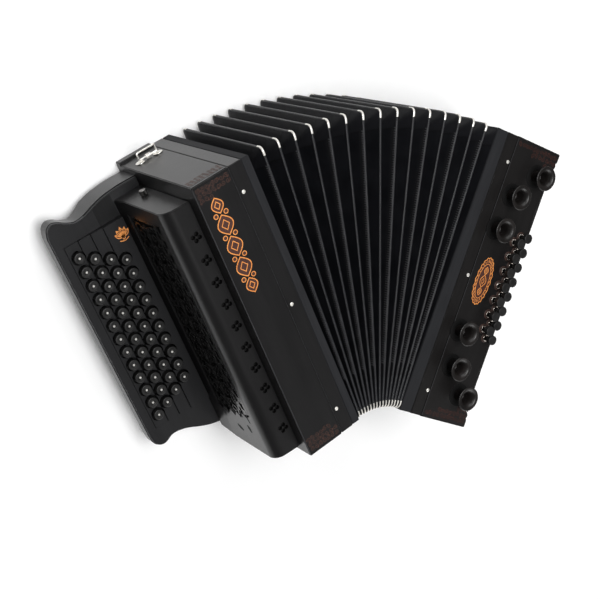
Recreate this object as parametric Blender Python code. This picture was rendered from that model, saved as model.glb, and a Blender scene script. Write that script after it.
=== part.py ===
"""Diatonic button accordion, lying on its back with the bellows fanned open.

The treble box is on the -X side, the bass box on the +X side, and the tops of
both point to +Y.  +Z comes out of the front of the instrument.

Each box is laid out in its own flat coordinates, in millimetres:
    u  away from the bellows (negative on the treble box, positive on the bass)
    v  from the bottom end of the box to its top end
    w  from the back of the box to its front
and the layout is then turned by half of the fan angle and scaled to metres.
"""

import math

import bmesh
import bpy
from mathutils import Matrix, Vector

# ---------------------------------------------------------------- dimensions
MM = 0.001
GAP = 0.3                    # clearance between touching pieces
HEIGHT = 360.0               # boxes, bottom to top
DEPTH = 190.0                # boxes, back to front
EDGE = 1.0                   # eased wooden edges

FAN_DEG = 46.82              # angle between the two boxes as posed
FOLDS = 15
PITCH = 3.95                 # ridge to ridge with the bellows shut
END_PITCH = 1.96             # box to first ridge with the bellows shut
FOLD_T = 3.3                 # closed thickness of one fold
FOLD_DEEP = 28.0             # depth of a pleat wall
FAN_CENTRE, FAN_BULGE = 8.7, 0.0036   # the middle pleats open a little wider

BASE_X, BASE_Y = 28.85, 0.0  # bottom corner of each box at the bellows
SHIFT_X, SHIFT_Y = 38.22, -161.06     # puts the origin under the middle of the part

T_RIM, T_SEAM, T_OUT = -10.4, -27.4, -75.4        # treble box
B_RIM, B_SEAM, B_OUT, B_RAIL = 18.0, 35.0, 104.5, 109.0   # bass box
WALL = 8.0

KEY_THIN, KEY_FRONT = 11.0, 50.0     # fingerboard slab, back face beside the box and front face
ROWS = (13, 12, 11, 10)              # buttons per row, outer row first
ROW_U, ROW_STEP = -178.6, 15.45
BUTTON_PITCH, ROW_MID = 18.45, 194.5
STAIR = 2.5                          # each strip is this much higher
STRIP_V0, STRIP_V1 = 68.0, 323.0
STRIP_U0, STRIP_U1 = -188.4, -113.8
CAP_R, HOLE_R = 6.5, 7.6

COVER_V0, COVER_V1 = 7.5, 341.5
COVER_WALL = 4.0
WINDOW = (28.0, 324.0, 64.0, 142.0)  # v0, v1, w0, w1 of the pierced panel
QUATREFOILS, QUATRE_V, QUATRE_PITCH = 10, 301.5, 28.9

HORNS = ((81.5, 142.7), (54.0, 110.0), (47.6, 66.0))   # u, distance from mid-height
HORN_MID, HORN_TALL, HORN_R = 180.4, 20.0, 15.3

BASS_PITCH = 18.87
BASS_ROWS = ((82.9, 125.3, 7), (91.3, 115.4, 8))       # u, first v, count
BASS_CAP_R, BASS_STEM_R, BASS_TOP = 6.3, 1.9, 205.5

HALF = math.radians(FAN_DEG / 2)

# ------------------------------------------------------------- clean the file
for ob in list(bpy.data.objects):
    bpy.data.objects.remove(ob, do_unlink=True)

scene = bpy.context.scene
scene.unit_settings.system = "METRIC"


# ------------------------------------------------------------------ materials
def material(name, colour, rough, metal=0.0):
    m = bpy.data.materials.new(name)
    m.use_nodes = True
    p = m.node_tree.nodes["Principled BSDF"]
    p.inputs["Base Color"].default_value = (*colour, 1.0)
    p.inputs["Roughness"].default_value = rough
    p.inputs["Metallic"].default_value = metal
    m.diffuse_color = (*colour, 1.0)
    return m


PALETTE = {
    "stained_wood": ((0.022, 0.021, 0.023), 0.38, 0.0),
    "bellows_rim": ((0.060, 0.061, 0.066), 0.45, 0.0),
    "bellows_card": ((0.012, 0.013, 0.018), 0.62, 0.0),
    "fretwork": ((0.014, 0.013, 0.013), 0.40, 0.0),
    "key_wood": ((0.030, 0.030, 0.032), 0.42, 0.0),
    "button_black": ((0.016, 0.016, 0.017), 0.28, 0.0),
    "horn_black": ((0.014, 0.013, 0.013), 0.22, 0.0),
    "nickel": ((0.80, 0.79, 0.76), 0.22, 1.0),
    "strap_leather": ((0.020, 0.018, 0.017), 0.60, 0.0),
    "reed_board": ((0.48, 0.36, 0.22), 0.55, 0.0),
}


# ------------------------------------------------------------------ placement
def turn(angle):
    return Matrix.Rotation(angle, 4, "Z")


def shift(x, y, z=0.0):
    return Matrix.Translation((x, y, z))


def fold_stations():
    """u of the treble box face, each ridge and the bass box face, bellows shut."""
    u = [0.0, END_PITCH]
    for _ in range(FOLDS - 1):
        u.append(u[-1] + PITCH)
    u.append(u[-1] + END_PITCH)
    return u


def gap_angles():
    """Opening angle of each gap; the middle ones open a little wider."""
    raw = [1.0 - FAN_BULGE * (k - FAN_CENTRE) ** 2 for k in range(1, FOLDS + 2)]
    total = sum(raw)
    return [math.radians(FAN_DEG) * r / total for r in raw]


def chain():
    """Placement of every fold and of the bass box in treble coordinates, and the hinge points."""
    u = fold_stations()
    at, frames, hinges = Matrix.Identity(4), [Matrix.Identity(4)], []
    for k, angle in enumerate(gap_angles()):
        h = Vector(((u[k] + u[k + 1]) / 2, 0.0, 0.0))
        hinges.append(at @ h)
        at = at @ Matrix.Translation(h) @ turn(-angle) @ Matrix.Translation(-h)
        frames.append(at.copy())
    return u, frames, hinges


STATIONS, FRAMES, HINGES = chain()
TREBLE = shift(-BASE_X + SHIFT_X, BASE_Y + SHIFT_Y) @ turn(HALF)
BASS = TREBLE @ FRAMES[-1] @ shift(STATIONS[-1], 0.0)
FOLD = [TREBLE @ FRAMES[k] @ shift(STATIONS[k], 0.0) for k in range(FOLDS + 1)]


def world(frame, u, v, w):
    return (frame @ Vector((u, v, w))) * MM


# -------------------------------------------------------------- mesh builders
def box(u0, u1, v0, v1, w0, w1, ease=0.0, axes="uvw"):
    """A box; ease cuts its edges along the named axes at 45 degrees."""
    bm = bmesh.new()
    bmesh.ops.create_cube(bm, size=1.0)
    bmesh.ops.scale(bm, vec=(u1 - u0, v1 - v0, w1 - w0), verts=bm.verts)
    bmesh.ops.translate(bm, vec=((u0 + u1) / 2, (v0 + v1) / 2, (w0 + w1) / 2), verts=bm.verts)
    if ease:
        pick = []
        for e in bm.edges:
            d = e.verts[1].co - e.verts[0].co
            run = "uvw"[max(range(3), key=lambda i: abs(d[i]))]
            if run in axes:
                pick.append(e)
        bmesh.ops.bevel(bm, geom=pick, offset=ease, segments=1, affect="EDGES", clamp_overlap=True)
    return bm


def join(*parts):
    """Several closed shells in one mesh."""
    out = bmesh.new()
    for p in parts:
        me = bpy.data.meshes.new("tmp")
        p.to_mesh(me)
        p.free()
        out.from_mesh(me)
        bpy.data.meshes.remove(me)
    return out


def prism(points, lo, hi, axis="v"):
    """A flat outline, counter-clockwise, extruded along one axis.
    axis v takes (u, w) points, axis w takes (u, v) points, axis u takes (v, w) points."""
    bm = bmesh.new()

    def put(a, b, h):
        return {"v": (a, h, b), "w": (a, b, h), "u": (h, a, b)}[axis]

    low = [bm.verts.new(put(a, b, lo)) for a, b in points]
    high = [bm.verts.new(put(a, b, hi)) for a, b in points]
    n = len(points)
    bm.faces.new(low)
    bm.faces.new(high)
    for i in range(n):
        bm.faces.new((low[i], low[(i + 1) % n], high[(i + 1) % n], high[i]))
    bmesh.ops.recalc_face_normals(bm, faces=bm.faces)
    return bm


def disc(cu, cv, w0, w1, r, sides=16, phase=0.0):
    pts = [(cu + r * math.cos(2 * math.pi * (i + phase) / sides),
            cv + r * math.sin(2 * math.pi * (i + phase) / sides)) for i in range(sides)]
    return prism(pts, w0, w1, "w")


def turned(profile, sides, cu, cv):
    """A solid of revolution about +w from a closed (radius, w) profile; radius 0 closes it."""
    bm = bmesh.new()
    rings = []
    for r, z in profile:
        if r == 0:
            rings.append([bm.verts.new((cu, cv, z))])
        else:
            rings.append([bm.verts.new((cu + r * math.cos(2 * math.pi * i / sides),
                                        cv + r * math.sin(2 * math.pi * i / sides), z))
                          for i in range(sides)])
    for a, b in zip(rings, rings[1:]):
        for i in range(sides):
            j = (i + 1) % sides
            if len(a) == 1:
                bm.faces.new((a[0], b[j], b[i]))
            elif len(b) == 1:
                bm.faces.new((a[i], a[j], b[0]))
            else:
                bm.faces.new((a[i], a[j], b[j], b[i]))
    bmesh.ops.recalc_face_normals(bm, faces=bm.faces)
    return bm


def rect_ring(u0, u1, v0, v1, w0, w1, side, ease=0.0):
    """A rectangular ring open along u: outer rectangle v0..v1 by w0..w1, rails `side` wide."""
    bm = bmesh.new()
    loops = []
    for u in (u0, u1):
        outer = [(v0, w0), (v1, w0), (v1, w1), (v0, w1)]
        inner = [(v0 + side, w0 + side), (v1 - side, w0 + side),
                 (v1 - side, w1 - side), (v0 + side, w1 - side)]
        loops.append(([bm.verts.new((u, a, b)) for a, b in outer],
                      [bm.verts.new((u, a, b)) for a, b in inner]))
    (o0, i0), (o1, i1) = loops
    edges = []
    for k in range(4):
        n = (k + 1) % 4
        bm.faces.new((o0[k], o0[n], i0[n], i0[k]))
        bm.faces.new((o1[k], i1[k], i1[n], o1[n]))
        bm.faces.new((o0[k], o1[k], o1[n], o0[n]))
        bm.faces.new((i0[k], i0[n], i1[n], i1[k]))
    bmesh.ops.recalc_face_normals(bm, faces=bm.faces)
    if ease:
        for ring in (o0, o1):
            for k in range(4):
                e = bm.edges.get((ring[k], ring[(k + 1) % 4]))
                edges.append(e)
        bmesh.ops.bevel(bm, geom=edges, offset=ease, segments=1, affect="EDGES", clamp_overlap=True)
    return bm


# ------------------------------------------------------------- object helpers
def add(name, bm, frame, mat, origin=None, parent=None, smooth=None):
    """A finished piece, its origin at a world point, optionally under an empty."""
    me = bpy.data.meshes.new(name)
    bm.to_mesh(me)
    bm.free()
    me.transform(Matrix.Scale(MM, 4) @ frame)
    at = Vector(origin) if origin is not None else (frame @ Vector((0, 0, 0))) * MM
    me.transform(Matrix.Translation(-at))
    if smooth:
        me.shade_smooth()
        me.set_sharp_from_angle(angle=math.radians(smooth))
    colour, rough, metal = PALETTE[mat]
    me.materials.append(material(name + "_" + mat, colour, rough, metal))
    ob = bpy.data.objects.new(name, me)
    scene.collection.objects.link(ob)
    if parent is not None:
        ob.parent = parent
        ob.location = at - parent.location
    else:
        ob.location = at
    return ob


def empty(name, at):
    e = bpy.data.objects.new(name, None)
    e.location = at
    e.empty_display_size = 0.02
    scene.collection.objects.link(e)
    return e


def shape(ob, bm, frame, operation="DIFFERENCE"):
    """Cuts or joins another mesh into ob with a live Boolean."""
    me = bpy.data.meshes.new(ob.name + "_tool")
    bm.to_mesh(me)
    bm.free()
    me.transform(Matrix.Scale(MM, 4) @ frame)
    tool = bpy.data.objects.new("tool_" + ob.name, me)
    tool.hide_render = True
    tool.display_type = "WIRE"
    scene.collection.objects.link(tool)
    mod = ob.modifiers.new(operation.title(), "BOOLEAN")
    mod.operation = operation
    mod.solver = "EXACT"
    mod.object = tool
    return ob


treble_root = empty("treble_root", world(TREBLE, 0, 0, 0))
bass_pivot = empty("bass_pivot", (TREBLE @ HINGES[-1]) * MM)


# ============================================================== TREBLE BOX
case = add("treble_case", box(T_OUT, T_SEAM - GAP, 0, HEIGHT, 0, DEPTH, EDGE, "uvw"),
           TREBLE, "stained_wood", parent=treble_root)
shape(case, box(T_OUT + 0.4, T_SEAM - GAP - 0.4, HEIGHT - 4, HEIGHT + 3, 0.4, 11), TREBLE, "UNION")
shape(case, box(T_OUT + WALL, T_SEAM + 5, WALL, HEIGHT - WALL, WALL, DEPTH - WALL), TREBLE)

add("treble_frame", rect_ring(T_SEAM, T_RIM - GAP, 0.6, HEIGHT - 0.6, 0, DEPTH - 0.6, 12, 0.8),
    TREBLE, "stained_wood", parent=treble_root)
add("treble_bellows_rim", rect_ring(T_RIM, -GAP, 0.9, HEIGHT - 0.9, 0, DEPTH - 0.9, 26, 0.8),
    TREBLE, "bellows_rim", parent=treble_root)

reed_t = add("treble_reed_board", box(-20, -14, 13, HEIGHT - 13, 13, DEPTH - 13),
             TREBLE, "reed_board", parent=treble_root)
shape(reed_t, join(*[box(-22, -12, v, v + 34, w, w + 12)
                     for v in (40, 95, 150, 205, 260) for w in (50, 128)]), TREBLE)

# --- grille cover: a shell over the keyboard side, round at its front corner
CURVE_C, CURVE_R = (-93.5, 153.0), 15.4
outline = [(T_OUT - GAP, KEY_FRONT + GAP), (T_OUT - GAP, 169.8)]
outline += [(CURVE_C[0] + CURVE_R * math.cos(math.radians(a)),
             CURVE_C[1] + CURVE_R * math.sin(math.radians(a))) for a in (88, 112, 135, 158, 180)]
outline += [(-108.9, 69.0), (-112.8, KEY_FRONT + GAP)]
hollow = [(T_OUT + 4, KEY_FRONT - 4), (T_OUT + 4, 165.6)]
hollow += [(CURVE_C[0] + (CURVE_R - COVER_WALL) * math.cos(math.radians(a)),
            CURVE_C[1] + (CURVE_R - COVER_WALL) * math.sin(math.radians(a))) for a in (88, 135, 180)]
hollow += [(-104.9, 70.0), (-109.6, KEY_FRONT - 4)]
cover = add("grille_cover", prism(outline, COVER_V0, COVER_V1, "v"), TREBLE, "stained_wood",
            parent=treble_root, smooth=35)
shape(cover, prism(hollow, COVER_V0 + COVER_WALL, COVER_V1 - COVER_WALL, "v"), TREBLE)
# the lower back corner is cut off at a slant, with a wall of its own behind the slant
slant = bmesh.new()
ends = [[slant.verts.new((u, v, w)) for v, w, u in
         ((17.5, KEY_FRONT + GAP, near), (24.7, KEY_FRONT + GAP, near), (10.5, 74.8, far), (8.2, 74.8, far))]
        for near, far in ((-110.6, -106.9), (T_OUT - GAP - 0.2, T_OUT - GAP - 0.2))]
slant.faces.new(ends[0])
slant.faces.new(ends[1])
for k in range(4):
    slant.faces.new((ends[0][k], ends[0][(k + 1) % 4], ends[1][(k + 1) % 4], ends[1][k]))
bmesh.ops.recalc_face_normals(slant, faces=slant.faces)
shape(cover, slant, TREBLE, "UNION")
shape(cover, prism([(-5, 93.5), (-5, 30), (31.9, 30)], -122, -70, "u"), TREBLE)
v0, v1, w0, w1 = WINDOW
shape(cover, box(-114, -100, v0, v1, w0, w1), TREBLE)


def quatrefoil(cu, cv, lo, hi):
    pts = []
    for i in range(16):
        a = 2 * math.pi * i / 16
        r = 2.1 + 2.6 * abs(math.cos(2 * a))
        pts.append((cu + r * math.cos(a), cv + r * math.sin(a)))
    return prism(pts, lo, hi, "w")


shape(cover, join(*[quatrefoil(-84.4, QUATRE_V - i * QUATRE_PITCH, 158, 175)
                    for i in range(QUATREFOILS)]), TREBLE)

# --- pierced panel in the side window of the cover
panel = add("grille_fretwork", box(-108.7, -106.0, v0 + GAP, v1 - GAP, w0 + GAP, w1 - GAP),
            TREBLE, "fretwork", parent=treble_root)


def leaf(cv, cw, long, wide, tilt):
    """An almond opening through the panel."""
    pts = []
    t = math.radians(tilt)
    for i in range(6):
        a = 2 * math.pi * i / 6
        x, y = long / 2 * math.cos(a), wide / 2 * math.sin(a)
        pts.append((cv + x * math.cos(t) - y * math.sin(t), cw + x * math.sin(t) + y * math.cos(t)))
    return prism(pts, -111, -103, "u")


cuts = []
for i in range(12):
    v = 46 + 23.6 * i
    cuts.append(leaf(v, 81, 15, 6.4, 38))
    cuts.append(leaf(v, 108, 15, 6.4, -38))
    cuts.append(box(-111, -103, v - 5, v + 5, 128.5, 130.7))
for i in range(11):
    v = 57.8 + 23.6 * i
    cuts.append(prism([(v + 3.4 * math.cos(math.pi * k / 3), 94.5 + 3.4 * math.sin(math.pi * k / 3))
                       for k in range(6)], -111, -103, "u"))
shape(panel, join(*cuts), TREBLE)


# --- fingerboard: slab with wave-shaped ends, and four stepped strips
def wave(points, steps=3):
    """A smooth open curve through the given points."""
    out = []
    for i in range(len(points) - 1):
        p0, p1, p2, p3 = (points[max(i - 1, 0)], points[i], points[i + 1],
                          points[min(i + 2, len(points) - 1)])
        for s in range(steps):
            t = s / steps
            out.append(tuple(0.5 * (2 * b + (c - a) * t + (2 * a - 5 * b + 4 * c - d) * t * t
                                    + (3 * b - a - 3 * c + d) * t ** 3)
                             for a, b, c, d in zip(p0, p1, p2, p3)))
    out.append(points[-1])
    return out


bottom = wave([(-200.0, 62), (-198, 50), (-192, 44), (-184, 43), (-172, 47), (-156, 43.5),
               (-138, 34), (-122, 27), (-100, 22), (T_OUT - GAP, 20)])
top = wave([(T_OUT - GAP, 353.5), (-100, 354), (-122, 352), (-138, 348), (-150, 344),
            (-162, 342.6), (-172, 346.5), (-181, 352.5), (-189, 354.5), (-196, 350), (-199.5, 340)])
base = add("fingerboard_base", prism(bottom + top, KEY_THIN, KEY_FRONT, "w"), TREBLE, "key_wood",
           parent=treble_root, smooth=35)
# the back of the slab rises from the box towards its free edge
shape(base, prism([(-230, KEY_THIN - 8), (-138, KEY_THIN - 8), (-138, KEY_THIN - 1), (-165, 25), (-205, 31), (-230, 31)],
                  -20, 380, "v"), TREBLE)
shape(base, box(STRIP_U0 - GAP, STRIP_U1 + GAP, STRIP_V0 - GAP, STRIP_V1 + GAP, 44, 60), TREBLE)


def row_v(count):
    """v of each button in a row, top one first."""
    return [ROW_MID + BUTTON_PITCH * ((count - 1) / 2 - i) for i in range(count)]


def row_u(r):
    return ROW_U + ROW_STEP * r


shape(base, join(*[box(row_u(r) - 4.6, row_u(r) + 4.6, row_v(n)[-1] - 9, row_v(n)[0] + 9, 34, 50)
                   for r, n in enumerate(ROWS)]), TREBLE)

stairs = []
for r in range(4):
    left = STRIP_U0 if r == 0 else row_u(r) - ROW_STEP / 2
    right = STRIP_U1 if r == 3 else row_u(r) + ROW_STEP / 2
    level = KEY_FRONT + 0.8 + STAIR * r
    stairs += [(left, level), (right, level)]
stairs = [(STRIP_U1, 44 + GAP)] + stairs[::-1] + [(STRIP_U0, 44 + GAP)]
strips = add("fingerboard_strips", prism(stairs, STRIP_V0, STRIP_V1, "v"), TREBLE, "key_wood",
             parent=treble_root)
for first in (0, 1):   # every other row in one tool, so that no two holes in it touch
    shape(strips, join(*[disc(row_u(r), v, 40, 70, HOLE_R, 12, 0.5)
                         for r in (first, first + 2) for v in row_v(ROWS[r])]), TREBLE)

# --- treble buttons: one row of round caps on a common carrier under the strips
for r, n in enumerate(ROWS):
    vs, u = row_v(n), row_u(r)
    level = KEY_FRONT + 0.8 + STAIR * r
    rail = add(f"treble_buttons_row_{r + 1}",
               box(u - 3.4, u + 3.4, vs[-1] - 7, vs[0] + 7, 38.5, 40.7), TREBLE, "button_black",
               origin=world(TREBLE, u, ROW_MID, level), smooth=35)
    shape(rail, join(*[turned([(0, 39.6), (2.4, 39.6), (2.4, 48.9), (CAP_R, 48.9),
                               (CAP_R, level + 3.9), (CAP_R - 1.0, level + 4.7), (0, level + 4.7)],
                              10, u, v)
                       for v in vs]), TREBLE, "UNION")

# --- small hardware on the treble box
add("grille_thumb_screw",
    prism([(-88.6 + 4 * math.cos(math.pi * k / 8), 85 + 4 * math.sin(math.pi * k / 8))
           for k in range(16)], COVER_V1 + GAP, COVER_V1 + 6.2, "v"),
    TREBLE, "nickel", parent=treble_root, smooth=35)


def flip_end(bm, mirror):
    """The bottom-end fitting is the top-end one mirrored about mid-height."""
    if mirror:
        bmesh.ops.scale(bm, vec=(1, -1, 1), verts=bm.verts)
        bmesh.ops.translate(bm, vec=(0, HEIGHT, 0), verts=bm.verts)
        bmesh.ops.reverse_faces(bm, faces=bm.faces)
    return bm


LOOP_U0, LOOP_U1, LOOP_W, LOOP_V = -61.5, -37.5, 40.5, HEIGHT + 3.6
for name, mirror in (("top", False), ("bottom", True)):
    def y_disc(cu, cw, lo, hi, r, sides):
        return prism([(cu + r * math.cos(2 * math.pi * k / sides),
                       cw + r * math.sin(2 * math.pi * k / sides)) for k in range(sides)], lo, hi, "v")

    bracket = add("strap_bracket_" + name,
                  flip_end(box(LOOP_U0, LOOP_U1, HEIGHT + 0.6, HEIGHT + 1.7, LOOP_W - 3.1, LOOP_W + 3.1), mirror),
                  TREBLE, "nickel", parent=treble_root, smooth=35)
    shape(bracket, flip_end(join(y_disc(LOOP_U0, LOOP_W, HEIGHT + GAP, HEIGHT + 2.0, 6.0, 14),
                                 y_disc(LOOP_U1, LOOP_W, HEIGHT + GAP, HEIGHT + 2.0, 6.0, 14)), mirror),
          TREBLE, "UNION")
    shape(bracket, flip_end(box(-53.0, -46.0, HEIGHT + 1.2, HEIGHT + 6.2, LOOP_W - 2.9, LOOP_W + 2.9), mirror),
          TREBLE, "UNION")
    shape(bracket, flip_end(prism([(LOOP_V + 1.65 * math.cos(math.pi * k / 5),
                                    LOOP_W + 1.65 * math.sin(math.pi * k / 5)) for k in range(10)],
                                  -58, -41, "u"), mirror), TREBLE)
    loop = bmesh.new()
    a, b = LOOP_V - 1.15, HEIGHT + 13.2
    outer = [(LOOP_U0 - 1.15, a), (LOOP_U1 + 1.15, a), (LOOP_U1 + 1.15, b), (LOOP_U0 - 1.15, b)]
    inner = [(LOOP_U0 + 1.15, a + 2.3), (LOOP_U1 - 1.15, a + 2.3), (LOOP_U1 - 1.15, b - 2.3),
             (LOOP_U0 + 1.15, b - 2.3)]
    vo = [[loop.verts.new((p[0], p[1], w)) for p in outer] for w in (LOOP_W - 1.15, LOOP_W + 1.15)]
    vi = [[loop.verts.new((p[0], p[1], w)) for p in inner] for w in (LOOP_W - 1.15, LOOP_W + 1.15)]
    for k in range(4):
        n = (k + 1) % 4
        loop.faces.new((vo[0][k], vo[0][n], vi[0][n], vi[0][k]))
        loop.faces.new((vo[1][k], vi[1][k], vi[1][n], vo[1][n]))
        loop.faces.new((vo[0][k], vo[1][k], vo[1][n], vo[0][n]))
        loop.faces.new((vi[0][k], vi[0][n], vi[1][n], vi[1][k]))
    bmesh.ops.recalc_face_normals(loop, faces=loop.faces)
    bmesh.ops.bevel(loop, geom=list(loop.edges), offset=0.55, segments=1, affect="EDGES")
    end_v = HEIGHT - LOOP_V if mirror else LOOP_V
    add("strap_loop_" + name, flip_end(loop, mirror), TREBLE, "nickel",
        origin=world(TREBLE, (LOOP_U0 + LOOP_U1) / 2, end_v, LOOP_W), smooth=35)

# ============================================================== BELLOWS
for k in range(1, FOLDS + 1):
    add(f"bellows_fold_{k:02d}",
        rect_ring(-FOLD_T / 2, FOLD_T / 2, 2.0, HEIGHT - 1.0, 3.2, DEPTH - 0.2, FOLD_DEEP, 1.1),
        FOLD[k], "bellows_card", origin=(TREBLE @ HINGES[k - 1]) * MM)

# ============================================================== BASS BOX
add("bass_bellows_rim", rect_ring(GAP, B_RIM, 0.9, HEIGHT - 0.9, 0, DEPTH - 0.9, 26, 0.8),
    BASS, "bellows_rim", parent=bass_pivot)
add("bass_frame", rect_ring(B_RIM + GAP, B_SEAM, 0.6, HEIGHT - 0.6, 0, DEPTH - 0.6, 12, 0.8),
    BASS, "stained_wood", parent=bass_pivot)
reed_b = add("bass_reed_board", box(22, 28, 13, HEIGHT - 13, 13, DEPTH - 13),
             BASS, "reed_board", parent=bass_pivot)
shape(reed_b, join(*[box(20, 30, v, v + 50, w, w + 18)
                     for v in (40, 155, 270) for w in (45, 127)]), BASS)

bcase = add("bass_case", box(B_SEAM + GAP, B_RAIL, 0, HEIGHT, 0, DEPTH, EDGE, "uvw"),
            BASS, "stained_wood", parent=bass_pivot)
shape(bcase, box(B_OUT - 4.0, B_RAIL + 5, 20, HEIGHT - 22, -5, DEPTH + 5), BASS)
shape(bcase, box(B_SEAM - 5, B_OUT - 8, WALL, HEIGHT - WALL, WALL, DEPTH - WALL), BASS)

bass_spots = [(u, first + BASS_PITCH * i) for u, first, n in BASS_ROWS for i in range(n)]
shape(bcase, join(*[disc(u, v, 176, 196, BASS_STEM_R + 0.7, 10) for u, v in bass_spots]), BASS)

AIR_V, AIR_W = 268.0, 150.0
endc = add("bass_end_cover", box(B_OUT - 3.7, B_OUT, 20.3, HEIGHT - 22.3, 0.3, DEPTH, 0.5, "v"),
           BASS, "stained_wood", parent=bass_pivot)


def u_disc(cv, cw, lo, hi, r, sides):
    return prism([(cv + r * math.cos(2 * math.pi * k / sides),
                   cw + r * math.sin(2 * math.pi * k / sides)) for k in range(sides)], lo, hi, "u")


shape(endc, u_disc(AIR_V, AIR_W, B_OUT - 8, B_OUT + 4, 3.2, 12), BASS)
shape(bcase, u_disc(AIR_V, AIR_W, B_OUT - 16, B_OUT + 4, 3.2, 12), BASS)

air = add("air_button", u_disc(AIR_V, AIR_W, B_OUT + 6.0, B_OUT + 10.5, 8.0, 16), BASS, "button_black",
          origin=world(BASS, B_OUT + 8, AIR_V, AIR_W), smooth=35)
shape(air, u_disc(AIR_V, AIR_W, B_OUT - 14.5, B_OUT + 7, 2.4, 10), BASS, "UNION")
shape(air, u_disc(AIR_V, AIR_W, B_OUT - 14.5, B_OUT - 12.4, 5.0, 12), BASS, "UNION")

# --- six turned horns on the front of the bass box
i = 0
for side in (1, -1):
    for u, off in HORNS[::side]:
        i += 1
        profile = [(0, 192.4), (4.6, 192.4), (4.9, 196.0), (6.6, 201.0), (9.6, 205.2), (14.3, 210.2),
                   (HORN_R, 210.2), (HORN_R, 209.2), (11.0, 204.4), (8.0, 199.4), (6.9, 193.5),
                   (7.4, 190.3), (0, 190.3)]
        add(f"bass_horn_{i}", turned(profile, 16, u, HORN_MID + side * off), BASS, "horn_black",
            parent=bass_pivot, smooth=50)

# --- hand strap, bowed over the outer side of the bass box
STRAP_V0, STRAP_V1, STRAP_RISE, STRAP_T = 62.0, 298.0, 27.0, 3.5


def strap_line(lift):
    pts = []
    for s in range(13):
        t = s / 12
        v = STRAP_V0 + (STRAP_V1 - STRAP_V0) * t
        pts.append((v, B_OUT + GAP + lift + STRAP_RISE * math.sin(math.pi * t) ** 0.8))
    return pts


feet = 26.0
over = [(STRAP_V0 - feet, B_OUT + GAP + STRAP_T)] + strap_line(STRAP_T) + [(STRAP_V1 + feet, B_OUT + GAP + STRAP_T)]
under = [(STRAP_V0 - feet, B_OUT + GAP)] + strap_line(0.0) + [(STRAP_V1 + feet, B_OUT + GAP)]
section = [(u, v) for v, u in under] + [(u, v) for v, u in over[::-1]]
add("hand_strap", prism(section[::-1], 58, 112, "w"), BASS, "strap_leather", parent=bass_pivot, smooth=35)

# --- bass buttons: mushroom caps on stems through the front of the bass box
for i, (u, v) in enumerate(bass_spots):
    profile = [(0, 179.0), (3.8, 179.0), (3.8, 181.0), (BASS_STEM_R, 181.0), (BASS_STEM_R, 198.4),
               (BASS_CAP_R - 0.8, 199.0), (BASS_CAP_R, 200.2), (BASS_CAP_R, BASS_TOP - 0.9),
               (BASS_CAP_R - 0.9, BASS_TOP), (0, BASS_TOP)]
    add(f"bass_button_{i + 1:02d}", turned(profile, 10, u, v), BASS, "button_black",
        origin=world(BASS, u, v, BASS_TOP), smooth=40)
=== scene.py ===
import math
import random

import bmesh
import bpy
from mathutils import Matrix, Vector
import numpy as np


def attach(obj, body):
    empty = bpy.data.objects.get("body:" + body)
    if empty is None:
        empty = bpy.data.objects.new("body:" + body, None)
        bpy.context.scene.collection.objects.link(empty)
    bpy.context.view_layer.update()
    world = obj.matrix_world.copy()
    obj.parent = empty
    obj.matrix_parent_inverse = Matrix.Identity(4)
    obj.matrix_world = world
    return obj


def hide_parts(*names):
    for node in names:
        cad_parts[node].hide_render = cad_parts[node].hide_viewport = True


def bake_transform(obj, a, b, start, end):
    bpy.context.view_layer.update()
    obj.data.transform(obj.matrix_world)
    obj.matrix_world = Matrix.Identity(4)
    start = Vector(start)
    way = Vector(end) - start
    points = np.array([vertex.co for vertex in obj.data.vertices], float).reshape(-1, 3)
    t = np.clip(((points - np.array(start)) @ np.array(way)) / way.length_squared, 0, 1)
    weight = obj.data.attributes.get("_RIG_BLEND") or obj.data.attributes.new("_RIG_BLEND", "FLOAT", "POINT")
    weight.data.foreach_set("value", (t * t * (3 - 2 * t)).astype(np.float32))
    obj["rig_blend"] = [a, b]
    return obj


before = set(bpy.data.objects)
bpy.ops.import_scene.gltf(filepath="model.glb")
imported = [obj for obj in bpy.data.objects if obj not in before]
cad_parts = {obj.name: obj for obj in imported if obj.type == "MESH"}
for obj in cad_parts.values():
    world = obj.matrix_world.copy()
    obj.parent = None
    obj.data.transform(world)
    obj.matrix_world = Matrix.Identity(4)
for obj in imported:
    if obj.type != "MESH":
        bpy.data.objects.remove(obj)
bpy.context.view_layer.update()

MM = 0.001
scene = bpy.context.scene
rnd = random.Random(11)

# --------------------------------------------------------------------------
# The layout of the instrument: each box has its own flat coordinates in mm,
# u away from the bellows, v bottom to top, w back to front.
# --------------------------------------------------------------------------
HEIGHT, DEPTH = 360.0, 190.0
FAN_DEG, FOLDS, PITCH, END_PITCH = 46.82, 15, 3.95, 1.96
HALF = math.radians(FAN_DEG / 2)
T_RIM, T_SEAM, T_OUT = -10.4, -27.4, -75.4
B_RIM, B_SEAM, B_OUT, B_RAIL = 18.0, 35.0, 104.5, 109.0
ROWS = (13, 12, 11, 10)
ROW_U, ROW_STEP, BUTTON_PITCH, ROW_MID = -178.6, 15.45, 18.45, 194.5
KEY_FRONT, STAIR = 50.0, 2.5
STRIP_V0, STRIP_V1, STRIP_U0, STRIP_U1 = 68.0, 323.0, -188.4, -113.8
HORNS = ((81.5, 142.7), (54.0, 110.0), (47.6, 66.0))
HORN_MID, HORN_R = 180.4, 15.3
BASS_PITCH = 18.87
BASS_ROWS = ((82.9, 125.3, 7), (91.3, 115.4, 8))
BASS_TOP = 205.5


def turn(a):
    return Matrix.Rotation(a, 4, "Z")


def shift(x, y, z=0.0):
    return Matrix.Translation((x, y, z))


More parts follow.
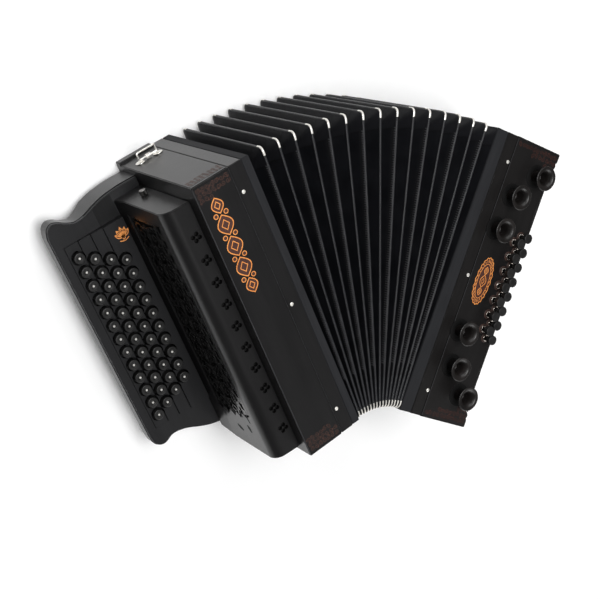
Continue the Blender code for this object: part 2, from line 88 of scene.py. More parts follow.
def chain():
    u = [0.0, END_PITCH]
    for _ in range(FOLDS - 1):
        u.append(u[-1] + PITCH)
    u.append(u[-1] + END_PITCH)
    raw = [1.0 - 0.0036 * (k - 8.7) ** 2 for k in range(1, FOLDS + 2)]
    at, frames = Matrix.Identity(4), [Matrix.Identity(4)]
    for k, r in enumerate(raw):
        h = Vector(((u[k] + u[k + 1]) / 2, 0.0, 0.0))
        a = math.radians(FAN_DEG) * r / sum(raw)
        at = at @ Matrix.Translation(h) @ turn(-a) @ Matrix.Translation(-h)
        frames.append(at.copy())
    return u, frames


STATIONS, FRAMES = chain()
TREBLE = shift(9.37, -161.06) @ turn(HALF)
FOLD = [TREBLE @ FRAMES[k] @ shift(STATIONS[k], 0.0) for k in range(FOLDS + 2)]
BASS = FOLD[-1]


def metres(m):
    out = m.copy()
    out.translation = out.translation * MM
    return out


def row_v(n):
    return [ROW_MID + BUTTON_PITCH * ((n - 1) / 2 - i) for i in range(n)]


def row_u(r):
    return ROW_U + ROW_STEP * r


BASS_SPOTS = [(u, f + BASS_PITCH * i) for u, f, n in BASS_ROWS for i in range(n)]

# --------------------------------------------------------------------------
# Materials
# --------------------------------------------------------------------------


class Nodes:
    def __init__(self, name):
        self.m = bpy.data.materials.new(name)
        self.m.use_nodes = True
        self.t = self.m.node_tree
        self.p = self.t.nodes["Principled BSDF"]
        self.spot = 0

    def add(self, kind, **values):
        n = self.t.nodes.new(kind)
        self.spot += 1
        n.location = (-220 * self.spot, -60 * self.spot)
        for k, v in values.items():
            if k in n.inputs:
                n.inputs[k].default_value = v
            else:
                setattr(n, k, v)
        return n

    def link(self, a, b):
        self.t.links.new(a, b)

    def coords(self, scale=(1, 1, 1), spin=0.0):
        c = self.add("ShaderNodeTexCoord")
        m = self.add("ShaderNodeMapping")
        if spin:
            r = self.add("ShaderNodeVectorRotate", rotation_type="Z_AXIS")
            r.inputs["Angle"].default_value = spin
            self.link(c.outputs["Object"], r.inputs["Vector"])
            self.link(r.outputs["Vector"], m.inputs["Vector"])
        else:
            self.link(c.outputs["Object"], m.inputs["Vector"])
        m.inputs["Scale"].default_value = scale
        return m.outputs["Vector"]

    def noise(self, vec, scale, detail=3.0, rough=0.55, distort=0.0):
        n = self.add("ShaderNodeTexNoise")
        n.inputs["Scale"].default_value = scale
        n.inputs["Detail"].default_value = detail
        n.inputs["Roughness"].default_value = rough
        n.inputs["Distortion"].default_value = distort
        self.link(vec, n.inputs["Vector"])
        return n.outputs["Fac"]

    def ramp(self, fac, *stops):
        r = self.add("ShaderNodeValToRGB")
        e = r.color_ramp.elements
        while len(e) < len(stops):
            e.new(0.5)
        for i, (pos, col) in enumerate(stops):
            e[i].position = pos
            e[i].color = (*col, 1.0) if not isinstance(col, (int, float)) else (col, col, col, 1.0)
        self.link(fac, r.inputs["Fac"])
        return r.outputs["Color"]

    def mix(self, fac, a, b):
        n = self.add("ShaderNodeMix", data_type="RGBA")
        if isinstance(fac, float):
            n.inputs[0].default_value = fac
        else:
            self.link(fac, n.inputs[0])
        for k, v in ((6, a), (7, b)):
            if isinstance(v, tuple):
                n.inputs[k].default_value = (*v, 1.0)
            else:
                self.link(v, n.inputs[k])
        return n.outputs[2]

    def math(self, op, a, b=None):
        n = self.add("ShaderNodeMath", operation=op)
        for k, v in ((0, a), (1, b)):
            if v is None:
                continue
            if isinstance(v, (int, float)):
                n.inputs[k].default_value = v
            else:
                self.link(v, n.inputs[k])
        return n.outputs[0]

    def range(self, fac, lo, hi):
        n = self.add("ShaderNodeMapRange")
        n.inputs["To Min"].default_value = lo
        n.inputs["To Max"].default_value = hi
        self.link(fac, n.inputs["Value"])
        return n.outputs["Result"]

    def bump(self, height, strength, distance, normal=None):
        b = self.add("ShaderNodeBump")
        b.inputs["Strength"].default_value = strength
        b.inputs["Distance"].default_value = distance
        self.link(height, b.inputs["Height"])
        if normal is not None:
            self.link(normal, b.inputs["Normal"])
        return b.outputs["Normal"]

    def done(self, color=None, rough=None, normal=None, metal=None, spec=None, coat=None,
             coat_rough=None, sheen=None):
        p = self.p
        for key, v in (("Base Color", color), ("Roughness", rough)):
            if v is None:
                continue
            if isinstance(v, tuple):
                p.inputs[key].default_value = (*v, 1.0)
            elif isinstance(v, (int, float)):
                p.inputs[key].default_value = v
            else:
                self.link(v, p.inputs[key])
        if normal is not None:
            self.link(normal, p.inputs["Normal"])
        for key, v in (("Metallic", metal), ("Specular IOR Level", spec), ("Coat Weight", coat),
                       ("Coat Roughness", coat_rough), ("Sheen Weight", sheen)):
            if v is not None:
                p.inputs[key].default_value = v
        return self.m


def wood(name, dark, light, rough=(0.34, 0.46), grain=1.0, spin=0.0, spec=0.42, along=(1.0, 0.05, 1.0)):
    """Stained, satin-lacquered wood: long fine pores along v, slow tone changes, faint brush marks."""
    n = Nodes(name)
    long = n.coords(along, spin)
    fine = n.noise(long, 900.0, 4.0, 0.62)
    broad = n.noise(long, 70.0, 3.0, 0.5, 0.6)
    even = n.noise(n.coords((1, 1, 1), spin), 14.0, 2.0)
    tone = n.ramp(n.math("ADD", n.math("MULTIPLY", fine, 0.55), n.math("MULTIPLY", broad, 0.45)),
                  (0.34, dark), (0.66, light))
    tone = n.mix(n.math("MULTIPLY", even, 0.35), tone, tuple(c * 1.35 for c in light))
    pore = n.ramp(fine, (0.30, 0.0), (0.46, 1.0))
    normal = n.bump(pore, 0.10 * grain, 0.0004)
    return n.done(tone, n.range(n.math("ADD", n.math("MULTIPLY", broad, 0.6), n.math("MULTIPLY", even, 0.4)),
                                rough[0], rough[1]), normal, spec=spec)


M = {}
M["wood_t"] = wood("treble_black_wood", (0.0042, 0.0040, 0.0042), (0.0088, 0.0084, 0.0088), (0.27, 0.36), spec=0.42)
M["wood_b"] = wood("bass_black_wood", (0.0046, 0.0041, 0.0041), (0.0094, 0.0086, 0.0085), (0.27, 0.36), spec=0.42)
M["rim"] = wood("bellows_rim_grey", (0.0150, 0.0153, 0.0168), (0.0225, 0.0229, 0.0250), (0.52, 0.62), 0.6, spec=0.06)
M["key"] = wood("fingerboard_black", (0.0072, 0.0072, 0.0078), (0.0120, 0.0120, 0.0130), (0.34, 0.44), 0.7, spec=0.28)
M["key_side"] = wood("fingerboard_side", (0.0065, 0.0065, 0.0070), (0.0110, 0.0110, 0.0118), (0.26, 0.36), 0.7, spec=0.34)
M["fret"] = wood("fretwork_black", (0.0045, 0.0044, 0.0044), (0.0095, 0.0092, 0.0092), (0.22, 0.32), 0.8, spec=0.42)
M["reed"] = wood("reed_board_spruce", (0.36, 0.25, 0.14), (0.56, 0.42, 0.26), (0.5, 0.62), 1.4)


def card():
    n = Nodes("bellows_card")
    v = n.coords((1, 1, 1))
    a = n.add("ShaderNodeAttribute", attribute_name="pleat")
    sep = n.add("ShaderNodeSeparateXYZ")
    n.link(a.outputs["Vector"], sep.inputs[0])
    run, depth, corner = sep.outputs
    rib_at = n.add("ShaderNodeAttribute", attribute_name="ribbed")
    weave = n.noise(v, 2600.0, 2.0, 0.7)
    slow = n.noise(v, 34.0, 3.0)
    ribs = n.math("SINE", n.math("MULTIPLY", run, 2 * math.pi / 0.0024))
    rib = n.math("MULTIPLY", n.math("ADD", ribs, 1.0), 0.5)
    base = n.ramp(slow, (0.35, (0.0036, 0.0039, 0.0052)), (0.65, (0.0068, 0.0071, 0.0090)))
    patch = n.ramp(n.math("ADD", corner, n.math("MULTIPLY", depth, 0.30)), (0.37, 1.0), (0.40, 0.0))
    seam = n.ramp(n.math("ADD", corner, n.math("MULTIPLY", depth, 0.30)), (0.36, 0.0), (0.385, 1.0), (0.41, 0.0))
    tone = n.mix(n.math("MULTIPLY", patch, 0.6), base, (0.0105, 0.0105, 0.0125))
    tone = n.mix(n.math("MULTIPLY", seam, 0.8), tone, (0.0022, 0.0022, 0.0026))
    mask = n.math("MULTIPLY", rib_at.outputs["Fac"], n.math("SUBTRACT", 1.0, patch))
    step = n.ramp(rib, (0.30, 0.0), (0.55, 1.0))
    tone = n.mix(n.math("MULTIPLY", mask, n.math("MULTIPLY", step, 0.9)), tone, (0.021, 0.021, 0.023))
    tone = n.mix(n.math("MULTIPLY", mask, n.math("MULTIPLY", n.math("SUBTRACT", 1.0, step), 0.85)), tone,
                 (0.0014, 0.0014, 0.0016))
    normal = n.bump(weave, 0.20, 0.0003)
    normal = n.bump(n.math("MULTIPLY", rib, mask), 0.55, 0.0006, normal)
    rough = n.range(n.math("ADD", n.math("MULTIPLY", weave, 0.5), n.math("MULTIPLY", slow, 0.5)), 0.50, 0.68)
    return n.done(tone, rough, normal, spec=0.16)


M["card"] = card()


def leather(name, dark, light, rough=(0.36, 0.52), cell=900.0, depth=0.35, spec=0.4):
    n = Nodes(name)
    v = n.coords((1, 1, 1))
    vo = n.add("ShaderNodeTexVoronoi", feature="DISTANCE_TO_EDGE")
    vo.inputs["Scale"].default_value = cell
    n.link(v, vo.inputs["Vector"])
    crease = n.ramp(vo.outputs["Distance"], (0.0, 0.0), (0.14, 1.0))
    slow = n.noise(v, 60.0, 4.0)
    fine = n.noise(v, 1800.0, 2.0)
    tone = n.ramp(slow, (0.35, dark), (0.65, light))
    normal = n.bump(crease, depth, 0.0003)
    normal = n.bump(fine, 0.1, 0.0002, normal)
    return n.done(tone, n.range(slow, *rough), normal, spec=spec)


M["tape"] = leather("ridge_tape", (0.0085, 0.0088, 0.0105), (0.0160, 0.0165, 0.0190), (0.32, 0.42), 2400.0, 0.25, 0.42)
M["rung"] = leather("ridge_stitch", (0.050, 0.050, 0.054), (0.080, 0.080, 0.086), (0.36, 0.48), 2400.0, 0.25, 0.35)
M["strap"] = leather("strap_leather", (0.012, 0.0105, 0.0095), (0.026, 0.022, 0.019), (0.40, 0.58), 700.0, 0.5)


def gloss(name, dark, light, rough=(0.16, 0.28), spec=0.5, coat=0.0, scale=40.0, bump=0.05):
    n = Nodes(name)
    v = n.coords((1, 1, 1))
    slow = n.noise(v, scale, 3.0)
    fine = n.noise(v, 1500.0, 3.0)
    tone = n.ramp(slow, (0.35, dark), (0.65, light))
    normal = n.bump(fine, bump, 0.0001)
    return n.done(tone, n.range(n.math("ADD", n.math("MULTIPLY", slow, 0.6), n.math("MULTIPLY", fine, 0.4)), *rough),
                  normal, spec=spec, coat=coat, coat_rough=0.12)


M["button"] = gloss("button_black", (0.0078, 0.0076, 0.0076), (0.0150, 0.0147, 0.0147), (0.34, 0.46), 0.36, 0.0, 120.0, 0.12)
M["horn"] = gloss("horn_ebony", (0.0062, 0.0054, 0.0050), (0.0130, 0.0106, 0.0100), (0.32, 0.40), 0.40, 0.0, 55.0, 0.06)


def metal(name, color, dark, rough=(0.14, 0.30)):
    n = Nodes(name)
    v = n.coords((1, 1, 1))
    slow = n.noise(v, 160.0, 3.0)
    fine = n.noise(v, 2200.0, 2.0)
    tone = n.ramp(slow, (0.30, dark), (0.62, color))
    normal = n.bump(fine, 0.06, 0.0001)
    return n.done(tone, n.range(n.math("ADD", n.math("MULTIPLY", slow, 0.5), n.math("MULTIPLY", fine, 0.5)), *rough),
                  normal, metal=1.0)


M["nickel"] = metal("nickel_plate", (0.88, 0.86, 0.81), (0.62, 0.60, 0.55))
M["bright"] = metal("bright_nickel", (0.95, 0.94, 0.90), (0.80, 0.78, 0.73), (0.22, 0.34))
def satin_plate():
    n = Nodes("satin_plate")
    v = n.coords((1, 1, 1))
    slow = n.noise(v, 160.0, 3.0)
    fine = n.noise(v, 2200.0, 2.0)
    tone = n.ramp(slow, (0.30, (0.74, 0.72, 0.67)), (0.62, (0.90, 0.88, 0.83)))
    return n.done(tone, n.range(fine, 0.30, 0.42), n.bump(fine, 0.06, 0.0001), metal=0.55)


M["plate"] = satin_plate()
M["collar"] = metal("collar_nickel", (0.92, 0.86, 0.80), (0.62, 0.54, 0.48), (0.16, 0.30))


def paint(name, light, dark, rough=0.45, spec=0.4, cell=500.0):
    n = Nodes(name)
    v = n.coords((1, 1, 1))
    mottled = n.noise(v, cell, 4.0, 0.6)
    slow = n.noise(v, 50.0, 2.0)
    tone = n.ramp(n.math("ADD", n.math("MULTIPLY", mottled, 0.7), n.math("MULTIPLY", slow, 0.3)),
                  (0.35, dark), (0.62, light))
    normal = n.bump(mottled, 0.08, 0.0002)
    return n.done(tone, n.range(mottled, rough - 0.06, rough + 0.08), normal, spec=spec)


M["orange"] = paint("inlay_orange", (0.86, 0.34, 0.085), (0.62, 0.20, 0.045))
M["brown"] = paint("inlay_brown", (0.075, 0.026, 0.018), (0.040, 0.014, 0.010))
M["filigree"] = paint("inlay_filigree", (0.075, 0.034, 0.026), (0.034, 0.018, 0.014), 0.42, 0.3, 900.0)
# painted highlight: mid-grey paint for the thin light line along the fingerboard's rounded ledge
M["ledge_highlight"] = paint("painted_ledge_highlight", (0.115, 0.115, 0.120), (0.060, 0.060, 0.064), 0.40, 0.35, 300.0)
# painted shade: a darker black for the shaded zone on the fingerboard plate beside the cover
M["shade"] = wood("painted_shade_black", (0.0050, 0.0050, 0.0054), (0.0085, 0.0085, 0.0090), (0.40, 0.50), 0.7, spec=0.16)
M["gun"] = metal("gunmetal", (0.10, 0.098, 0.094), (0.045, 0.044, 0.042), (0.24, 0.38))
# painted highlight: a lighter copy of the gunmetal for the screw's lit top
M["gun_lit_top"] = metal("gunmetal_painted_highlight", (0.34, 0.33, 0.32), (0.20, 0.195, 0.19), (0.34, 0.46))
# painted highlight: light grey for the thin bright lines along edges and seams
M["edge"] = paint("painted_edge_highlight", (0.062, 0.062, 0.066), (0.044, 0.044, 0.047), 0.40, 0.30, 300.0)
M["filigree_b"] = paint("inlay_filigree_red", (0.060, 0.022, 0.017), (0.026, 0.012, 0.010), 0.42, 0.3, 900.0)
M["washer"] = paint("washer_brown", (0.045, 0.023, 0.018), (0.022, 0.012, 0.010), 0.5, 0.3, 900.0)
M["pearl"] = paint("dot_pearl", (0.62, 0.61, 0.58), (0.46, 0.45, 0.42), 0.32, 0.5, 700.0)
# black felt for the grille lining; the same black also paints the shadow discs under the horns
M["felt_and_shadow"] = paint("grille_lining_and_horn_shadow", (0.006, 0.0058, 0.0058), (0.003, 0.003, 0.003), 0.85, 0.15, 1800.0)
M["thread"] = paint("strap_thread", (0.045, 0.040, 0.036), (0.020, 0.018, 0.016), 0.6, 0.3, 1200.0)
# black for the lid's joint lines, and painted shade for the slot marks on the cover
M["dark"] = paint("groove_and_slot_shade_black", (0.005, 0.005, 0.005), (0.0025, 0.0025, 0.0025), 0.7, 0.2, 800.0)


# --------------------------------------------------------------------------
# Mesh builders (local mm)
# --------------------------------------------------------------------------
def join(*parts):
    out = bmesh.new()
    for p in parts:
        me = bpy.data.meshes.new("tmp")
        p.to_mesh(me)
        p.free()
        out.from_mesh(me)
        bpy.data.meshes.remove(me)
    return out


def put_axis(axis, a, b, h):
    return {"v": (a, h, b), "w": (a, b, h), "u": (h, a, b)}[axis]


def soften(bm, width, segments=2, angle=28.0, keep=None):
    """Rounds every edge sharper than the angle."""
    bm.normal_update()
    pick = [e for e in bm.edges if e.is_manifold and e.calc_face_angle(0.0) > math.radians(angle)
            and (keep is None or keep(e))]
    if pick:
        bmesh.ops.bevel(bm, geom=pick, offset=width, segments=segments, affect="EDGES",
                        profile=0.5, clamp_overlap=True)
    return bm


def rbox(u0, u1, v0, v1, w0, w1, r=0.8, segments=2):
    bm = bmesh.new()
    bmesh.ops.create_cube(bm, size=1.0)
    bmesh.ops.scale(bm, vec=(u1 - u0, v1 - v0, w1 - w0), verts=bm.verts)
    bmesh.ops.translate(bm, vec=((u0 + u1) / 2, (v0 + v1) / 2, (w0 + w1) / 2), verts=bm.verts)
    if r:
        bmesh.ops.bevel(bm, geom=list(bm.edges), offset=r, segments=segments, affect="EDGES", clamp_overlap=True)
    return bm


def prism(points, lo, hi, axis="v", r=0.0, segments=2, which="both"):
    """Outline extruded along an axis; r rounds the rims of its two flat ends."""
    bm = bmesh.new()
    low = [bm.verts.new(put_axis(axis, a, b, lo)) for a, b in points]
    high = [bm.verts.new(put_axis(axis, a, b, hi)) for a, b in points]
    n = len(points)
    bm.faces.new(low)
    bm.faces.new(high)
    for i in range(n):
        bm.faces.new((low[i], low[(i + 1) % n], high[(i + 1) % n], high[i]))
    bmesh.ops.recalc_face_normals(bm, faces=bm.faces)
    if r:
        rims = []
        for ring, tag in ((low, "low"), (high, "high")):
            if which in ("both", tag):
                rims += [bm.edges.get((ring[i], ring[(i + 1) % n])) for i in range(n)]
        bmesh.ops.bevel(bm, geom=rims, offset=r, segments=segments, affect="EDGES", clamp_overlap=True)
    return bm


def circle(a, b, r, n=24, phase=0.0):
    return [(a + r * math.cos(2 * math.pi * (i + phase) / n), b + r * math.sin(2 * math.pi * (i + phase) / n))
            for i in range(n)]


def turned(profile, sides, cu, cv, axis="w"):
    """Solid of revolution; profile is (radius, height), radius 0 closes it."""
    bm = bmesh.new()
    rings = []
    for r, h in profile:
        if r == 0:
            rings.append([bm.verts.new(put_axis(axis, cu, cv, h))])
        else:
            rings.append([bm.verts.new(put_axis(axis, cu + r * math.cos(2 * math.pi * i / sides),
                                                cv + r * math.sin(2 * math.pi * i / sides), h))
                          for i in range(sides)])
    for a, b in zip(rings, rings[1:]):
        for i in range(sides):
            j = (i + 1) % sides
            if len(a) == 1:
                bm.faces.new((a[0], b[j], b[i]))
            elif len(b) == 1:
                bm.faces.new((a[i], a[j], b[0]))
            else:
                bm.faces.new((a[i], a[j], b[j], b[i]))
    bmesh.ops.recalc_face_normals(bm, faces=bm.faces)
    return bm


def rounded_profile(points, r, steps=4):
    """Rounds the corners of an open (radius, height) profile."""
    out = [points[0]]
    for p, q, s in zip(points, points[1:], points[2:]):
        a, b = Vector(p) - Vector(q), Vector(s) - Vector(q)
        t = min(r, a.length * 0.45, b.length * 0.45)
        if t < 1e-3:
            out.append(q)
            continue
        p0, p1 = Vector(q) + a.normalized() * t, Vector(q) + b.normalized() * t
        for i in range(steps + 1):
            k = i / steps
            out.append(tuple(p0 * (1 - k) ** 2 + Vector(q) * 2 * k * (1 - k) + p1 * k * k))
    out.append(points[-1])
    return out


def wave(points, steps=3):
    out = []
    for i in range(len(points) - 1):
        p0, p1, p2, p3 = (points[max(i - 1, 0)], points[i], points[i + 1], points[min(i + 2, len(points) - 1)])
        for s in range(steps):
            t = s / steps
            out.append(tuple(0.5 * (2 * b + (c - a) * t + (2 * a - 5 * b + 4 * c - d) * t * t
                                    + (3 * b - a - 3 * c + d) * t ** 3) for a, b, c, d in zip(p0, p1, p2, p3)))
    out.append(points[-1])
    return out


def offsets(points, width, closed):
    """Left and right edges of a ribbon along a polyline."""
    n = len(points)
    left, right = [], []
    for i in range(n):
        p = Vector(points[i])
        a = Vector(points[i - 1]) if (i or closed) else p
        b = Vector(points[(i + 1) % n]) if (i < n - 1 or closed) else p
        d1, d2 = (p - a), (b - p)
        d1 = d1.normalized() if d1.length > 1e-9 else d2.normalized()
        d2 = d2.normalized() if d2.length > 1e-9 else d1
        t = (d1 + d2)
        t = t.normalized() if t.length > 1e-6 else d1
        nrm = Vector((-t.y, t.x))
        k = 1.0 / max(0.45, nrm.dot(Vector((-d1.y, d1.x))))
        w = width(i / max(n - 1, 1)) if callable(width) else width
        left.append(tuple(p + nrm * (w / 2 * k)))
        right.append(tuple(p - nrm * (w / 2 * k)))
    return left, right


def ribbon(points, width, lo, hi, axis="w", closed=False):
    """A flat band of given width along a polyline, extruded from lo to hi."""
    left, right = offsets(points, width, closed)
    bm = bmesh.new()
    n = len(points)
    rows = [[bm.verts.new(put_axis(axis, *p, h)) for p in side] for side, h in
            ((left, lo), (left, hi), (right, hi), (right, lo))]
    last = n if closed else n - 1
    for i in range(last):
        j = (i + 1) % n
        for k in range(4):
            a, b = rows[k], rows[(k + 1) % 4]
            bm.faces.new((a[i], a[j], b[j], b[i]))
    if not closed:
        bm.faces.new([rows[k][0] for k in range(4)])
        bm.faces.new([rows[k][-1] for k in range(4)][::-1])
    bmesh.ops.recalc_face_normals(bm, faces=bm.faces)
    return bm


def spiral(cx, cy, r0, r1, a0, turns, n=22, flip=1):
    pts = []
    for i in range(n):
        t = i / (n - 1)
        r = r0 + (r1 - r0) * t ** 0.85
        a = math.radians(a0) + flip * 2 * math.pi * turns * t
        pts.append((cx + r * math.cos(a), cy + r * math.sin(a)))
    return pts


def place(bm, matrix):
    bm.transform(matrix)
    return bm


def piece(name, bm, at, mat, body, replaces=(), smooth=32.0):
    """A finished piece in a box's local frame, riding on its body."""
    me = bpy.data.meshes.new(name)
    bm.to_mesh(me)
    bm.free()
    me.transform(Matrix.Scale(MM, 4))
    if smooth:
        me.shade_smooth()
        me.set_sharp_from_angle(angle=math.radians(smooth))
    me.materials.append(M[mat])
    ob = bpy.data.objects.new(name, me)
    scene.collection.objects.link(ob)
    ob.matrix_world = metres(at)
    if body:
        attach(ob, body)
    if replaces:
        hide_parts(*replaces)
    return ob


def carve(ob, bm, operation="DIFFERENCE", smooth=32.0):
    """Cuts a local-mm mesh out of a piece (or joins it) and keeps the result as plain mesh."""
    me = bpy.data.meshes.new("tool")
    bm.to_mesh(me)
    bm.free()
    me.transform(Matrix.Scale(MM, 4))
    tool = bpy.data.objects.new("tool", me)
    scene.collection.objects.link(tool)
    tool.matrix_world = ob.matrix_world.copy()
    mod = ob.modifiers.new("cut", "BOOLEAN")
    mod.operation = operation
    mod.solver = "EXACT"
    mod.object = tool
    bpy.context.view_layer.update()
    dg = bpy.context.evaluated_depsgraph_get()
    new = bpy.data.meshes.new_from_object(ob.evaluated_get(dg))
    ob.modifiers.remove(mod)
    old = ob.data
    ob.data = new
    new.name = old.name
    bpy.data.meshes.remove(old)
    bpy.data.objects.remove(tool)
    bpy.data.meshes.remove(me)
    if smooth:
        ob.data.shade_smooth()
        ob.data.set_sharp_from_angle(angle=math.radians(smooth))
    return ob


# --------------------------------------------------------------------------
# Bellows: ridges, nickel corners and pleated walls
# --------------------------------------------------------------------------
R_V0, R_V1, R_W0, R_W1 = 2.0, 359.0, 3.2, 189.8
CORNER_R = 6.0


def rounded_rect(v0, v1, w0, w1, r, nv, nw, arc=6):
    """Points around a rectangle with round corners, as (v, w, inward v, inward w)."""
    out = []
    corners = [((v1 - r, w1 - r), 0.0), ((v0 + r, w1 - r), 90.0), ((v0 + r, w0 + r), 180.0), ((v1 - r, w0 + r), 270.0)]
    # walk: front-top corner, front side down, front-bottom corner, bottom, back-bottom, back up, back-top, top
    sides = [nv, nw, nv, nw]
    for k, ((cv, cw), _) in enumerate(corners):
        base = {0: 0.0, 1: 90.0, 2: 180.0, 3: 270.0}[k]
        arc_pts = []
        for i in range(arc + 1):
            a = math.radians(base + 90.0 * i / arc)
            dv, dw = math.cos(a), math.sin(a)
            arc_pts.append((cv + r * dv, cw + r * dw, -dv, -dw))
        out += arc_pts
        nxt = corners[(k + 1) % 4][0]
        nb = base + 90.0
        a = math.radians(nb)
        dv, dw = math.cos(a), math.sin(a)
        end = (nxt[0] + r * dv, nxt[1] + r * dw)
        start = arc_pts[-1]
        m = sides[k]
        for i in range(1, m):
            t = i / m
            out.append((start[0] + (end[0] - start[0]) * t, start[1] + (end[1] - start[1]) * t, -dv, -dw))
    return out


def sweep(path, section, closed=True):
    """Section points are (depth inward, u) swept along path points (v, w, inward v, inward w)."""
    bm = bmesh.new()
    rings = [[bm.verts.new((u, v + iv * d, w + iw * d)) for d, u in section] for v, w, iv, iw in path]
    n, m = len(rings), len(section)
    for i in range(n if closed else n - 1):
        a, b = rings[i], rings[(i + 1) % n]
        for k in range(m):
            j = (k + 1) % m
            bm.faces.new((a[k], a[j], b[j], b[k]))
    if not closed:
        bm.faces.new(rings[0])
        bm.faces.new(rings[-1][::-1])
    bmesh.ops.recalc_face_normals(bm, faces=bm.faces)
    return bm


def crest(half, deep, n=6):
    """Round-topped crest section, (depth, u)."""
    pts = [(deep, -half * 0.72)]
    for i in range(n + 1):
        a = math.pi * i / n
        pts.append((half * 0.62 * (1 - math.sin(a)), -half * math.cos(a)))
    pts.append((deep, half * 0.72))
    return pts


RIDGE_PATH = rounded_rect(R_V0, R_V1, R_W0, R_W1, CORNER_R, 40, 22)
FINE_PATH = rounded_rect(R_V0, R_V1, R_W0, R_W1, CORNER_R, 260, 132, 10)

for k in range(1, FOLDS + 1):
    stitched = k % 2 == 1
    body = f"fold_{k:02d}"
    if stitched:
        path = []
        for i, (v, w, iv, iw) in enumerate(FINE_PATH):
            d = 0.34 if i % 2 else 0.0
            path.append((v + iv * d, w + iw * d, iv, iw))
        ridge = sweep(path, crest(1.5, 5.2))
    else:
        ridge = sweep(RIDGE_PATH, crest(1.5, 5.2, 8))
    piece(f"ridge_{k:02d}", ridge, FOLD[k], "tape", body, (f"bellows_fold_{k:02d}",), 60)
    # bent nickel corner caps
    caps = []
    for c in range(4):
        cv = (R_V1 - CORNER_R, R_V0 + CORNER_R, R_V0 + CORNER_R, R_V1 - CORNER_R)[c]
        cw = (R_W1 - CORNER_R, R_W1 - CORNER_R, R_W0 + CORNER_R, R_W0 + CORNER_R)[c]
        arc = []
        for i in range(11):
            a = math.radians(90.0 * c + 90.0 * i / 10)
            arc.append((cv + CORNER_R * math.cos(a), cw + CORNER_R * math.sin(a), -math.cos(a), -math.sin(a)))
        a0, a1 = math.radians(90.0 * c), math.radians(90.0 * c + 90.0)
        leg = 4.0
        first = [(arc[0][0] + math.sin(a0) * leg * t, arc[0][1] - math.cos(a0) * leg * t, arc[0][2], arc[0][3])
                 for t in (1.0, 0.5)]
        last = [(arc[-1][0] - math.sin(a1) * leg * t, arc[-1][1] + math.cos(a1) * leg * t, arc[-1][2], arc[-1][3])
                for t in (0.5, 1.0)]
        f = 0.86 if c in (0, 3) else 0.62
        sec = [(q, t * f) for q, t in ((2.5, -1.56), (0.9, -1.62), (0.1, -1.35), (-0.24, -0.75), (-0.30, 0.0), (-0.24, 0.75),
                                       (0.1, 1.35), (0.9, 1.62), (2.5, 1.56), (2.5, 1.3), (0.5, 1.3), (0.5, -1.3), (2.5, -1.3))]
        caps.append(sweep(first + arc + last, sec, closed=False))
    piece(f"corner_plates_{k:02d}", join(*caps), FOLD[k], "plate", body, (), 40)
    if stitched:      # short stitches along the flank towards the treble box
        rungs = [rbox(-2.0, -0.9, 58 + 2.75 * i, 59.30 + 2.75 * i, R_W1 - 5.4, R_W1 - 1.0, 0) for i in range(102)]
        piece(f"ridge_rungs_{k:02d}", join(*rungs), FOLD[k], "rung", body, (), 0)


def loop_pair(depth, arc=6, nv=40, nw=22):
    """Perimeter points at the ridge and at the valley, matched one to one."""
    outer = rounded_rect(R_V0 + 1.4, R_V1 - 1.4, R_W0 + 1.4, R_W1 - 1.4, CORNER_R - 1.4, nv, nw, arc)
    inner = rounded_rect(R_V0 + depth, R_V1 - depth, R_W0 + depth, R_W1 - depth, 2.0, nv, nw, arc)
    return outer, inner


